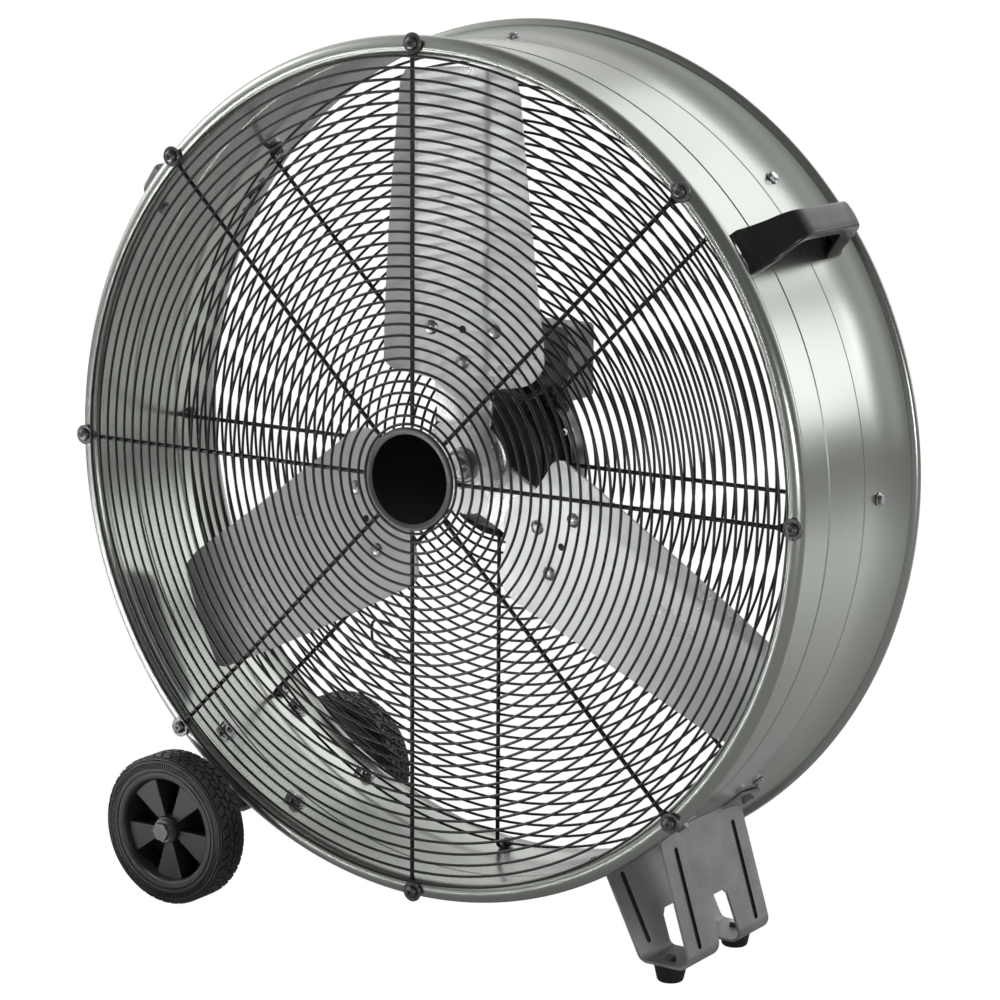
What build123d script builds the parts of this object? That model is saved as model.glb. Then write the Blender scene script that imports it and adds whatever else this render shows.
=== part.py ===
from build123d import *
import os
from math import atan2, cos, degrees, pi, radians, sin, sqrt, tan

# A large drum fan: a short steel drum with wire guards, a three-blade rotor on
# a motor that hangs in the rear guard, two carrying handles, and an
# undercarriage with two wheels on one side and two rubber feet on the other.
# X points to the fan's left as it blows, Y from the front to the back, Z up.
# The origin is on the floor, under the middle of the undercarriage.

# ---- drum ----
DRUM_R = 386.5            # outside of the wall
GROUND = 49.5             # room under the drum
AXIS_H = DRUM_R + GROUND  # fan axis above the floor
WALL = 1.5
DRUM_FRONT = -94.0        # middle of the front bead
DRUM_BACK = 102.5         # middle of the back lip
BEAD_R = 9.0              # rolled front bead
LIP_WIRE_R = 4.0          # wired back lip
LIP_R = DRUM_R + 12.1     # radius of the lip's middle
FLARE_Y = 38.5            # where the back flare starts
FLARE_STEPS = 2           # straight bands that make up the flare
BEAD_SIDES = 8
LIP_SIDES = 4

# ---- fits ----
SEAT = 0.3                # gap of a piece that sits on a curved wall
RUN = 0.3                 # gap of a turning piece
FIT = 0.3                 # gap round a screw or bolt in its hole
BORE_FIT = 0.1            # gap of a wheel on its axle

# ---- guards ----
WIRE = 3.0                # ring wire
SPOKE_W = 4.4             # spoke wire
SPOKES = 8
GUARD_OUT_R = DRUM_R - 9.5  # outermost ring, front and rear
FRONT_IN_R = 57.7         # innermost ring of the front guard's even rings
FRONT_RINGS = 32
FRONT_PITCH = (GUARD_OUT_R - FRONT_IN_R) / (FRONT_RINGS - 1)
REAR_IN_R = 83.0          # innermost ring of the rear guard
REAR_RINGS = 29
REAR_PITCH = (GUARD_OUT_R - REAR_IN_R) / (REAR_RINGS - 1)
FINE_SIDES = 24           # sides of a large ring
COARSE_SIDES = 16         # sides of a small ring
COARSE_R = 300.0          # rings below this radius have fewer sides
REAR_SPOKE_Y = 36.0       # middle of the rear spokes
REAR_BOLT_Y = 53.0        # bolts of the rear guard
STRAP_T = 2.2             # flattened ends of the spokes
STRAP_W = 13.0

# ---- front guard screws and badge ----
SCREW_CIRCLE_R = DRUM_R + 1.5
SCREW_R = 2.5
SCREW_LEN = 10.0
EYE_R = 8.0
EYE_T = 2.0
WASHER_R = 9.5
WASHER_T = 1.2
PAN_R = 6.0
PAN_H = 3.8
BEZEL_R = 47.2
BEZEL_LIP = 6.2           # width of the bezel's visible ring
BEZEL_DEPTH = 4.0
BEZEL_FLOOR = 1.5
BADGE_T = 1.5

# ---- bolts ----
BOLT_R = 3.0
HEX_AF = 10.0
HEX_H = 4.0
NUT_H = 5.0
HEX_CORNER = HEX_AF / 2 / cos(pi / 6)
ROUND = 6                 # sides of a small shank or its hole
MID_ROUND = 12            # sides of a head, washer or sleeve
BIG_ROUND = 36            # sides of a motor, rim or badge piece

# ---- motor ----
MOTOR_R = 72.0
MOTOR_WALL = 3.0
MOTOR_FRONT = 24.0
MOTOR_BACK = 58.0
BELL_R = 60.0
BELL_FRONT = 6.0
BELL_FLANGE_T = 3.0
COVER_LEN = 24.0
MOUNT_R = 79.0            # mount ring and motor flange
MOUNT_T = 3.0
FLANGE_T = 4.0
MOUNT_BOLT_R = 2.0
MOUNT_BOLT_AF = 6.4
MOUNT_BOLT_CIRCLE = 75.9
SHAFT_R = 8.0
BEARING_R = 16.0
BEARING_W = 8.0
BEARING_FRONT = 9.0
BEARING_BACK = 71.0
STATOR_IN_R = 45.0
STATOR_FRONT = 28.0
STATOR_BACK = 54.0

# ---- rotor ----
BLADES = 3
BLADE_TILT = 9.0          # pitch of the blade at its rivets
BLADE_Y = -25.4           # middle of the blade's sheet on its radius line
BLADE_T = 2.0
TIP_R = DRUM_R - 22.5
ROOT_R = 60.5             # blade's nearest edge to the axis
PAD_T = 4.0               # spider sheet
HUB_R = 46.0
BOSS_R = 20.0
RIVET_R = 4.0
RIVET_HEAD_R = 7.0
RIVET_HEAD_H = 2.0
RIVET_SIDE = 32.0         # outer rivets, off the radius line
RIVET_OUT = 126.2
RIVET_IN = 96.1
NUT_AF = 24.0
NUT_DEPTH = 9.0
ARM_W = 58.0              # spider arm at the hub
PAD_W = 84.0
PAD_LOW = 80.0            # pad of the spider, from the axis
PAD_HIGH = 140.0
PAD_CORNER = 12.0
BOSS_LEN = 18.0
FOLD_T = -46.5            # fold of the trailing strip, off the radius line
SEAT_T = 44.0             # end of the blade's flat seat
TRAIL_TILT = 15.5
LEAD_TILT = 6.5

# ---- control box ----
BOX_FRONT = 46.5
BOX_DEPTH = 41.5
BOX_HALF_W = 68.0
BOX_BOTTOM = 55.0         # above the fan axis
BOX_TOP = 125.0
BOX_WALL = 2.5
BOX_CORNER = 3.0
LID_T = 3.0
KNOB_R = 16.0
KNOB_H = 15.0
KNOB_SHAFT_R = 3.0
LEAD_R = 2.8
LEAD_ANGLE = 51.0
LEAD_IN_R = 65.0
LEAD_OUT_R = 87.0
LEAD_FRONT = 8.0
LEAD_BEND = 9.0
LEAD_STEPS = 6

# ---- cord hook ----
HOOK_X = 158.5            # beside and below the fan axis
HOOK_DROP = 196.0
HOOK_W = 15.0
HOOK_HALF = 18.0
HOOK_REACH = 26.0
HOOK_T = 3.0

# ---- handles ----
HANDLE_ANGLE = 35.0
HANDLE_Y = 1.5            # middle of the handle
HANDLE_LEN = 157.0
HANDLE_W = 39.0
GRIP_W = 25.5
GRIP_RISE = 43.5          # top of the grip above the drum
GRIP_R = DRUM_R + GRIP_RISE
GRIP_LEN = 97.0
GRIP_T = 11.0
SKIRT = 4.5
FOOT_LEN = 16.0           # foot of the handle
FOOT_T = 5.0
HANDLE_SCREW_IN = 9.0     # screw from the handle's end

# ---- brackets ----
SHEET = 2.5
BRACKET_HALF = 72.0
BEND_R = 11.0
BRACKET_FLOOR = 16.0      # height of the foot bracket's flat bottom
TAB_W = 30.0
TAB_OVER = 3.8            # degrees that a tab runs along the drum
TAB_BOLT = 2.6            # degrees from the wall to the bolt
FOOT_WALL_OUT = -51.1     # where the outer wall meets the drum
FOOT_WALL_IN = -61.1
FOOT_SPREAD_OUT = 37.7    # how far the walls lean out down to their bottom corners
FOOT_SPREAD_IN = 39.3
ARCH_LOW = 22.0
ARCH_HIGH = 13.5
ARCH_H = 40.0
SLOT_W = 6.0              # pressed grooves in the foot bracket's walls
SLOT_D = 1.0
SLOT_Y = 51.0
SLOT_SHARE = 0.76         # of the wall's height
FOOT_INSET = 23.5         # feet from the inner bottom corner
FOOT_Y = 58.0
FOOT_TOP_R = 15.5
FOOT_BOTTOM_R = 11.8

# ---- wheels ----
WHEEL_R = 72.6
WHEEL_SLOPE = 0.7072      # sideways run per drop, from the fan axis to the axle
WHEEL_X = -(AXIS_H - WHEEL_R) * WHEEL_SLOPE
WHEEL_W = 34.5
WHEEL_OUT = 152.6         # outer face of each wheel
RIM_R = 57.0
RIM_IN_R = 49.0
WEB_T = 7.0
WEB_IN = 7.0
WINDOWS = 5
HUB_OUT_R = 13.0
AXLE_R = 6.0
SLEEVE_R = 9.0
WHEEL_BRACKET_RISE = 40.5  # flat bottom of the wheel bracket, from the drum
WHEEL_BRACKET_R = DRUM_R + WHEEL_BRACKET_RISE
WHEEL_BRACKET_HALF = 24.0
WHEEL_WALL_OUT = -130.1
WHEEL_WALL_IN = -120.5
EAR_R = 15.0
AXLE_HEX_AF = 16.0
AXLE_HEX_H = 4.0
AXLE_WASHER_R = 11.0
AXLE_WASHER_T = 1.5


# ---- places ----

def seen(y, x=0.0, z=AXIS_H):
    """A plane across the fan at depth y, as seen from the front."""
    return Plane(origin=(x, y, z), x_dir=(1, 0, 0), z_dir=(0, -1, 0))


def slab(sketch, y_front, y_back, x=0.0, z=AXIS_H):
    """A sketch drawn as seen from the front, between two depths."""
    return extrude(seen(y_back, x, z) * sketch, y_back - y_front, dir=(0, -1, 0))


def disc(radius, y_front, y_back, hole=0.0, x=0.0, z=AXIS_H):
    """A round plate across the fan, with or without a hole."""
    face = Circle(radius)
    if hole:
        face -= Circle(hole)
    return slab(face, y_front, y_back, x, z)


def prism(sides, radius, y_front, y_back, hole=0.0, flats=False):
    """A many-sided plate about the fan axis."""
    face = RegularPolygon(radius, sides, major_radius=not flats)
    if hole:
        face -= RegularPolygon(hole, sides, major_radius=not flats)
    return slab(face, y_front, y_back)


def radial(angle, radius, y):
    """A plane facing outwards at an angle round the drum: its x is depth."""
    c = cos(radians(angle))
    s = sin(radians(angle))
    return Plane(origin=(radius * c, y, AXIS_H + radius * s), x_dir=(0, 1, 0), z_dir=(c, 0, s))


def outward(sketch, angle, r_from, r_to, y):
    """A sketch on the drum's skin, between two radii."""
    place = radial(angle, r_from, y)
    return extrude(place * sketch, r_to - r_from, dir=place.z_dir)


def turned(face, start=0.0, end=360.0):
    """A (radius, depth) section turned about the fan axis."""
    body = revolve(face, Axis.Y, end - start)
    return Pos(0, 0, AXIS_H) * Rot(0, -end, 0) * body


def around(piece, angle):
    """A piece turned about the fan axis."""
    return Pos(0, 0, AXIS_H) * Rot(0, -angle, 0) * Pos(0, 0, -AXIS_H) * piece


def mirrored(piece):
    """The same piece on the other side of the fan."""
    return mirror(piece, Plane.YZ)


def group(pieces):
    """Separate solids under one name."""
    solids = []
    for piece in pieces:
        solids += piece.solids()
    return Compound(children=solids)


def hexagon(across):
    return RegularPolygon(across / 2, 6, major_radius=False)


# ---- drum wall ----

FLARE_DEPTH = DRUM_BACK - FLARE_Y
FLARE_RISE = LIP_R - DRUM_R + WALL / 2
FLARE_RHO = (FLARE_DEPTH**2 + FLARE_RISE**2) / (2 * FLARE_RISE) - WALL / 2


def flare_depths():
    """Depths where the flare's straight bands meet."""
    return [FLARE_Y + FLARE_DEPTH * i / FLARE_STEPS for i in range(FLARE_STEPS + 1)]


def flare_r(y):
    """Radius of the wall's outer face on the flare's true curve."""
    return DRUM_R + FLARE_RHO - sqrt(FLARE_RHO**2 - (y - FLARE_Y)**2)


def wall_r(y, offset=0.0):
    """Radius of the wall's outer face at depth y, moved out by an offset."""
    if y <= FLARE_Y:
        return DRUM_R + offset
    knots = flare_depths()
    for low, high in zip(knots, knots[1:]):
        if y <= high or high == knots[-1]:
            share = (y - low) / (high - low)
            return flare_r(low) + share * (flare_r(high) - flare_r(low)) + offset


def wall_band(inner, outer, y_from, y_to):
    """A strip that follows the wall, between two offsets of its outer face."""
    depths = [y_from] + [y for y in flare_depths() if y_from < y < y_to] + [y_to]
    points = [(wall_r(y, inner), y) for y in depths]
    points += [(wall_r(y, outer), y) for y in reversed(depths)]
    return make_face(Polyline(*points, close=True))


def drum_space():
    """All that lies inside the drum's skin, with the seat's gap."""
    return turned(wall_band(-60.0, SEAT, DRUM_FRONT - 40, DRUM_BACK))


def drum_shell():
    """Wall, back flare, rolled front bead and wired back lip, with all holes."""
    section = wall_band(-WALL, 0.0, DRUM_FRONT, DRUM_BACK)
    bead_place = Pos(DRUM_R - WALL / 2, DRUM_FRONT)
    section += bead_place * RegularPolygon(BEAD_R, BEAD_SIDES, major_radius=False, rotation=180 / BEAD_SIDES)
    lip_place = Pos(LIP_R, DRUM_BACK)
    section += lip_place * RegularPolygon(LIP_WIRE_R, LIP_SIDES, major_radius=False, rotation=180 / LIP_SIDES)
    shell = turned(section)
    hole = RegularPolygon(BOLT_R + FIT, ROUND)
    for angle, y in wall_bolts():
        shell -= outward(hole, angle, DRUM_R - 20, DRUM_R + 20, y)
    blind = RegularPolygon(SCREW_R + FIT, ROUND)
    for angle in spoke_angles():
        shell -= around(slab(Pos(SCREW_CIRCLE_R, 0) * blind, BEAD_TOP - 1, BEAD_TOP + SCREW_LEN), angle)
    return shell


# ---- front guard ----

BEAD_TOP = DRUM_FRONT - BEAD_R             # front of the bead
SPOKE_FRONT = BEAD_TOP - SPOKE_W           # front of the front spokes
RING_FRONT = SPOKE_FRONT - WIRE
BADGE_RING_R = (BEZEL_R + SEAT) / cos(pi / COARSE_SIDES) + WIRE / 2


def spoke_angles():
    return [i * 360 / SPOKES for i in range(SPOKES)]


def ring(radius, y_front):
    """One closed ring of guard wire."""
    sides = FINE_SIDES if radius > COARSE_R else COARSE_SIDES
    return prism(sides, radius + WIRE / 2, y_front, y_front + WIRE, hole=radius - WIRE / 2)


def front_guard_rings():
    radii = [GUARD_OUT_R - FRONT_PITCH * i for i in range(FRONT_RINGS)]
    return group([ring(r, RING_FRONT) for r in radii + [BADGE_RING_R]])


def spoke_bar(r_from, r_to, y_middle):
    """A straight spoke along the fan's +X radius, flat where rings lie on it."""
    bar = RegularPolygon(SPOKE_W / 2, ROUND, major_radius=False, rotation=180 / ROUND)
    place = Plane(origin=(r_from, y_middle, AXIS_H), x_dir=(0, 1, 0), z_dir=(1, 0, 0))
    return extrude(place * bar, r_to - r_from, dir=(1, 0, 0))


def front_guard_spokes():
    """Eight spokes, each flattened to an eye under its screw."""
    clear = SCREW_CIRCLE_R - WASHER_R - 1
    spoke = spoke_bar(BADGE_RING_R - WIRE, clear, (BEAD_TOP + SPOKE_FRONT) / 2)
    neck = Pos((clear + SCREW_CIRCLE_R) / 2 - 4, 0) * Rectangle(SCREW_CIRCLE_R - clear + 8, EYE_R)
    eye = neck + Pos(SCREW_CIRCLE_R, 0) * RegularPolygon(EYE_R, MID_ROUND)
    eye -= Pos(SCREW_CIRCLE_R, 0) * RegularPolygon(SCREW_R + FIT, ROUND)
    spoke += slab(eye, BEAD_TOP - EYE_T, BEAD_TOP)
    return group([around(spoke, a) for a in spoke_angles()])


def pan_screw():
    """Pan head and washer in one, with its shank in the bead."""
    seat = BEAD_TOP - EYE_T
    washer = slab(RegularPolygon(WASHER_R, MID_ROUND), seat - WASHER_T, seat)
    head = slab(RegularPolygon(PAN_R, MID_ROUND), seat - WASHER_T - PAN_H, seat - WASHER_T)
    rim = head.faces().sort_by(Axis.Y)[0].edges()
    head = chamfer(rim, PAN_H * 0.35)
    shank = slab(RegularPolygon(SCREW_R, ROUND), seat, BEAD_TOP + SCREW_LEN - 1)
    return Pos(SCREW_CIRCLE_R, 0, 0) * (washer + head + shank)


def front_guard_screws():
    return group([around(pan_screw(), a) for a in spoke_angles()])


BEZEL_BACK = SPOKE_FRONT
BADGE_R = BEZEL_R - BEZEL_LIP


def badge_bezel():
    """A shallow round cup whose lip frames the badge."""
    cup = prism(BIG_ROUND, BEZEL_R, BEZEL_BACK - BEZEL_DEPTH, BEZEL_BACK)
    lip = cup.faces().sort_by(Axis.Y)[0].edges()
    cup = chamfer(lip, 1.2)
    return cup - prism(BIG_ROUND, BADGE_R + SEAT / 2, BEZEL_BACK - BEZEL_DEPTH, BEZEL_BACK - BEZEL_FLOOR)


def badge_disc():
    return prism(BIG_ROUND, BADGE_R, BEZEL_BACK - BEZEL_FLOOR - BADGE_T, BEZEL_BACK - BEZEL_FLOOR)


# ---- rear guard ----

REAR_RING_FRONT = REAR_SPOKE_Y + SPOKE_W / 2
STRAP_OUT = DRUM_R - WALL - SEAT           # outer face of a spoke's bent end
STRAP_BACK = REAR_BOLT_Y + STRAP_W / 2


def rear_guard_rings():
    radii = [GUARD_OUT_R - REAR_PITCH * i for i in range(REAR_RINGS)]
    return group([ring(r, REAR_RING_FRONT) for r in radii])


def rear_guard_spokes():
    """Eight spokes whose flattened ends turn back along the wall to a bolt."""
    spoke = spoke_bar(MOTOR_R + 2, STRAP_OUT - STRAP_T / 2, REAR_SPOKE_Y)
    front = REAR_SPOKE_Y - SPOKE_W / 2
    strap = Pos((front - REAR_BOLT_Y) / 2, 0) * Rectangle(REAR_BOLT_Y - front, STRAP_W)
    strap += RegularPolygon(STRAP_W / 2, MID_ROUND)
    strap -= RegularPolygon(BOLT_R + FIT, ROUND)
    spoke += outward(strap, 0, STRAP_OUT - STRAP_T, STRAP_OUT, REAR_BOLT_Y)
    return group([around(spoke, a) for a in spoke_angles()])


def wall_bolt(angle, y, seat, tail):
    """A hex bolt through the drum's wall, its head outside."""
    head = outward(hexagon(HEX_AF), angle, seat, seat + HEX_H, y)
    shank = outward(RegularPolygon(BOLT_R, ROUND), angle, tail, seat, y)
    return head + shank


def wall_nut(angle, y, seat):
    """A nut inside the wall."""
    face = hexagon(HEX_AF) - RegularPolygon(BOLT_R + 0.1, ROUND)
    return outward(face, angle, seat - NUT_H, seat, y)


def rear_guard_bolts():
    seat = wall_r(REAR_BOLT_Y + HEX_CORNER) + 0.05
    tail = STRAP_OUT - STRAP_T - NUT_H - 2
    return group([wall_bolt(a, REAR_BOLT_Y, seat, tail) for a in spoke_angles()])


def rear_guard_nuts():
    return group([wall_nut(a, REAR_BOLT_Y, STRAP_OUT - STRAP_T) for a in spoke_angles()])


# ---- motor ----

FLANGE_FRONT = REAR_RING_FRONT + MOUNT_T
COVER_BACK = MOTOR_BACK + COVER_LEN


def mount_angles():
    return [22.5, 157.5, 202.5, 337.5]


def mount_holes(y_front, y_back):
    hole = Pos(MOUNT_BOLT_CIRCLE, 0) * RegularPolygon(MOUNT_BOLT_R + FIT, ROUND)
    return [around(slab(hole, y_front, y_back), a) for a in mount_angles()]


def motor_mount_ring():
    """The flat ring that ties the rear spokes to the motor's flange."""
    plate = prism(24, MOUNT_R, REAR_RING_FRONT, FLANGE_FRONT)
    plate -= prism(24, MOTOR_R + SEAT, REAR_RING_FRONT, FLANGE_FRONT, flats=True)
    for hole in mount_holes(REAR_RING_FRONT - 1, FLANGE_FRONT + 1):
        plate -= hole
    return plate


def motor_body():
    """The motor's round housing with the flange behind the mount ring."""
    body = prism(BIG_ROUND, MOTOR_R, MOTOR_FRONT, MOTOR_BACK)
    body += prism(24, MOUNT_R, FLANGE_FRONT, FLANGE_FRONT + FLANGE_T)
    body -= prism(24, MOTOR_R - MOTOR_WALL, MOTOR_FRONT - 1, MOTOR_BACK + 1)
    for hole in mount_holes(FLANGE_FRONT - 1, FLANGE_FRONT + FLANGE_T + 1):
        body -= hole
    return body


def motor_front_bell():
    """The smaller front end, with the bearing's seat in its middle."""
    inside = BELL_FRONT + MOTOR_WALL
    bell = prism(BIG_ROUND, BELL_R, BELL_FRONT, MOTOR_FRONT)
    rim = bell.faces().sort_by(Axis.Y)[0].edges()
    bell = chamfer(rim, 3.0)
    bell += prism(BIG_ROUND, MOTOR_R - 1, MOTOR_FRONT - BELL_FLANGE_T, MOTOR_FRONT)
    bell -= prism(24, BELL_R - MOTOR_WALL - 1, inside, MOTOR_FRONT + 1)
    bell += prism(24, BEARING_R + MOTOR_WALL, BELL_FRONT - 2, BEARING_FRONT + BEARING_W)
    bell -= prism(24, BEARING_R + 0.05, BEARING_FRONT, MOTOR_FRONT)
    return bell - prism(MID_ROUND, SHAFT_R + RUN, BELL_FRONT - 3, MOTOR_FRONT, flats=True)


def motor_rear_cover():
    """The motor's closed back, with a seat for the rear bearing."""
    cover = prism(BIG_ROUND, MOTOR_R, MOTOR_BACK, COVER_BACK)
    rim = cover.faces().sort_by(Axis.Y)[-1].edges()
    cover = chamfer(rim, 6.0)
    cover -= prism(24, MOTOR_R - MOTOR_WALL - 4, MOTOR_BACK - 1, COVER_BACK - MOTOR_WALL)
    cover += prism(24, BEARING_R + MOTOR_WALL, BEARING_BACK, COVER_BACK - MOTOR_WALL)
    return cover - prism(24, BEARING_R + 0.05, BEARING_BACK - 1, BEARING_BACK + BEARING_W)


def motor_mount_bolts():
    """Four small bolts through the mount ring and the motor's flange."""
    head = hexagon(MOUNT_BOLT_AF)
    front = slab(head, REAR_RING_FRONT - 3, REAR_RING_FRONT)
    shank = slab(RegularPolygon(MOUNT_BOLT_R, ROUND), REAR_RING_FRONT, FLANGE_FRONT + FLANGE_T)
    back = slab(head, FLANGE_FRONT + FLANGE_T, FLANGE_FRONT + FLANGE_T + 3)
    bolt = Pos(MOUNT_BOLT_CIRCLE, 0, 0) * (front + shank + back)
    return group([around(bolt, a) for a in mount_angles()])


def bearing(y_front):
    ring = prism(24, BEARING_R, y_front, y_front + BEARING_W)
    return ring - prism(24, SHAFT_R + 0.1, y_front, y_front + BEARING_W, flats=True)


def stator():
    """The laminated ring that fills the motor's housing."""
    return prism(24, MOTOR_R - MOTOR_WALL - 0.1, STATOR_FRONT, STATOR_BACK, hole=STATOR_IN_R)


def rotor_core():
    """The turning core on the shaft."""
    core = prism(24, (STATOR_IN_R - 1.0) * cos(pi / 24), STATOR_FRONT, STATOR_BACK)
    return core - disc(SHAFT_R, STATOR_FRONT, STATOR_BACK)


# ---- rotor ----

TILT_COS = cos(radians(BLADE_TILT))
SPIDER_Y = BLADE_Y + (BLADE_T + PAD_T) / 2 / TILT_COS
PAD_FRONT = SPIDER_Y - PAD_T / 2
PAD_BACK = SPIDER_Y + PAD_T / 2
NUT_BACK = PAD_FRONT
SHAFT_FRONT = NUT_BACK - NUT_DEPTH - 3


def motor_shaft():
    """The shaft, from the hub nut to the rear bearing."""
    return disc(SHAFT_R, SHAFT_FRONT, BEARING_BACK + BEARING_W - 1)


def hub_nut():
    face = hexagon(NUT_AF) - RegularPolygon(SHAFT_R + 0.1, FINE_SIDES, major_radius=False)
    return slab(face, NUT_BACK - NUT_DEPTH, NUT_BACK)


def across_blade(v, y, tilt=BLADE_TILT):
    """A section plane across the upright blade at radius v: x tangential, y backwards."""
    c = cos(radians(tilt))
    s = sin(radians(tilt))
    return Plane(origin=(0, y, AXIS_H + v), x_dir=(c, s, 0), z_dir=(0, 0, 1))


def spider_hub():
    """Hub disc with three twisted arms that end in the blades' pads."""
    inner = across_blade(HUB_R - 8, SPIDER_Y, tilt=0) * Rectangle(ARM_W, PAD_T)
    outer = across_blade(PAD_LOW, SPIDER_Y) * Rectangle(PAD_W - 2 * PAD_CORNER, PAD_T)
    arm = loft([inner.face(), outer.face()], ruled=True) + spider_pad()
    spider = disc(HUB_R, PAD_FRONT, PAD_BACK)
    spider += prism(FINE_SIDES, BOSS_R, PAD_BACK, PAD_BACK + BOSS_LEN)
    for angle in blade_angles():
        spider += around(arm, angle)
    spider -= disc(SHAFT_R, PAD_FRONT - 1, PAD_BACK + BOSS_LEN + 1)
    for angle in blade_angles():
        for t, v in rivets():
            spider -= around(rivet_bar(t, v, RIVET_R + 0.1, 0, PAD_T + BLADE_T + 2), angle)
    return spider


def spider_pad():
    """The flat pad behind the upright blade."""
    face = Pos(0, (PAD_LOW + PAD_HIGH) / 2) * Rectangle(PAD_W, PAD_HIGH - PAD_LOW)
    face = chamfer(face.vertices(), PAD_CORNER)
    cut = across_blade(0, SPIDER_Y)
    place = Plane(origin=cut.origin, x_dir=cut.x_dir, z_dir=-cut.y_dir)
    return extrude(place * face, PAD_T / 2, both=True)


def blade_angles():
    return [-i * 360 / BLADES for i in range(BLADES)]


def rivets():
    return [(-RIVET_SIDE, RIVET_OUT), (RIVET_SIDE, RIVET_OUT), (0.0, RIVET_IN)]


def rivet_bar(t, v, radius, low, high, sides=ROUND):
    """A bar square to the upright blade's sheet, between two depths from its middle."""
    cut = across_blade(v, BLADE_Y)
    base = cut.origin + cut.x_dir * t + cut.y_dir * low
    place = Plane(origin=base, x_dir=cut.x_dir, z_dir=cut.y_dir)
    return extrude(place * RegularPolygon(radius, sides), high - low, dir=place.z_dir)


def blade_rivets():
    """Rivets through the blades and the pads, with a head on each side."""
    front = -BLADE_T / 2
    back = BLADE_T / 2 + PAD_T
    pieces = []
    for t, v in rivets():
        rivet = rivet_bar(t, v, RIVET_R, front, back)
        rivet += rivet_bar(t, v, RIVET_HEAD_R, front - RIVET_HEAD_H, front, MID_ROUND)
        rivet += rivet_bar(t, v, RIVET_HEAD_R, back, back + RIVET_HEAD_H, MID_ROUND)
        pieces += [around(rivet, a) for a in blade_angles()]
    return group(pieces)


def blade_sheet():
    """The bent sheet before its outline is cut: folded strip, flat seat, eased front edge."""
    slope = tan(radians(BLADE_TILT))
    fold = (FOLD_T, FOLD_T * slope)
    seat = (SEAT_T, SEAT_T * slope)
    trail = (-90.0, fold[1] + (-90.0 - FOLD_T) * tan(radians(TRAIL_TILT)))
    lead = (90.0, seat[1] + (90.0 - SEAT_T) * tan(radians(LEAD_TILT)))
    low = [(t, y - BLADE_T / 2 / TILT_COS) for t, y in (trail, fold, seat, lead)]
    high = [(t, y + BLADE_T / 2 / TILT_COS) for t, y in (lead, seat, fold, trail)]
    section = make_face(Polyline(*(low + high), close=True))
    base = Plane(origin=(0, BLADE_Y, AXIS_H + 50), x_dir=(1, 0, 0), z_dir=(0, 0, 1))
    return extrude(base * section, TIP_R, dir=(0, 0, 1))


def blade_outline():
    """The blade's outline as seen from the front, pointing up."""
    top = TIP_R - 8.0
    waist = (ROOT_R + TIP_R) / 2
    points = [
        (-78.0, 100.0), (-71.0, waist), (-61.0, top), (-59.3, top + 2.6), (-55.0, top + 3.8),
        (0.0, TIP_R), (38.0, TIP_R - 2.0), (49.5, TIP_R - 8.0), (55.4, TIP_R - 22.0),
        (66.0, waist), (81.0, 112.0), (77.0, 93.0), (68.0, 82.0), (54.0, 76.0),
        (37.0, 74.0), (22.0, 64.5), (2.0, ROOT_R), (-14.0, 65.0), (-24.0, 74.0),
        (-30.0, 79.0), (-59.0, 84.0), (-71.5, 88.5),
    ]
    return make_face(Polyline(*points, close=True))


def blade():
    """One blade, pointing up: the bent sheet cut to its outline, with its holes."""
    outline = slab(blade_outline(), BLADE_Y - 40, BLADE_Y + 40)
    body = blade_sheet() & outline
    for t, v in rivets() + [(0.0, RIVET_OUT)]:
        body -= rivet_bar(t, v, RIVET_R + 0.1, -10, 10)
    return body


# ---- control box ----

BOX_BACK = BOX_FRONT + BOX_DEPTH
BOX_MID = (BOX_TOP + BOX_BOTTOM) / 2


def box_face(inset=0.0):
    face = Pos(0, BOX_MID) * Rectangle(2 * BOX_HALF_W - 2 * inset, BOX_TOP - BOX_BOTTOM - 2 * inset)
    return face


def control_box():
    """The switch housing, saddled on the motor and open at the back."""
    box = slab(box_face(), BOX_FRONT, BOX_BACK)
    corners = box.edges().filter_by(Axis.Y)
    box = chamfer(corners, BOX_CORNER)
    space = slab(box_face(BOX_WALL), BOX_FRONT + BOX_WALL, BOX_BACK + 1)
    space -= prism(BIG_ROUND, MOTOR_R + 2 * SEAT + BOX_WALL, BOX_FRONT - 1, BOX_BACK + 2)
    box -= space
    box -= prism(BIG_ROUND, MOTOR_R + 2 * SEAT, BOX_FRONT - 1, BOX_BACK + 1)
    lead = Pos(LEAD_OUT_R, 0) * RegularPolygon(LEAD_R + 0.3, MID_ROUND)
    box -= around(slab(lead, BOX_FRONT - 1, BOX_FRONT + BOX_WALL), LEAD_ANGLE)
    side = Plane(origin=(-BOX_HALF_W - 1, gland_y(), gland_z()), x_dir=(0, 1, 0), z_dir=(1, 0, 0))
    return box - extrude(side * RegularPolygon(GLAND_R, MID_ROUND), BOX_WALL + 2, dir=(1, 0, 0))


GLAND_R = 6.0


def gland_y():
    return (BOX_FRONT + BOX_BACK) / 2


def gland_z():
    return AXIS_H + BOX_MID


def cable_gland():
    """The bare inlet in the box's side: a threaded neck, a collar and a dome nut."""
    pieces = None
    steps = ((GLAND_R - 0.1, -BOX_WALL - 2, 0.0), (9.0, 0.0, 5.0), (7.5, 5.0, 15.0))
    for radius, start, end in steps:
        plane = Plane(origin=(-BOX_HALF_W - start, gland_y(), gland_z()), x_dir=(0, 1, 0), z_dir=(-1, 0, 0))
        step = extrude(plane * RegularPolygon(radius, MID_ROUND), end - start, dir=(-1, 0, 0))
        pieces = step if pieces is None else pieces + step
    bore = Plane(origin=(-BOX_HALF_W + 5, gland_y(), gland_z()), x_dir=(0, 1, 0), z_dir=(-1, 0, 0))
    return pieces - extrude(bore * RegularPolygon(3.5, ROUND), 30.0, dir=(-1, 0, 0))


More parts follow.
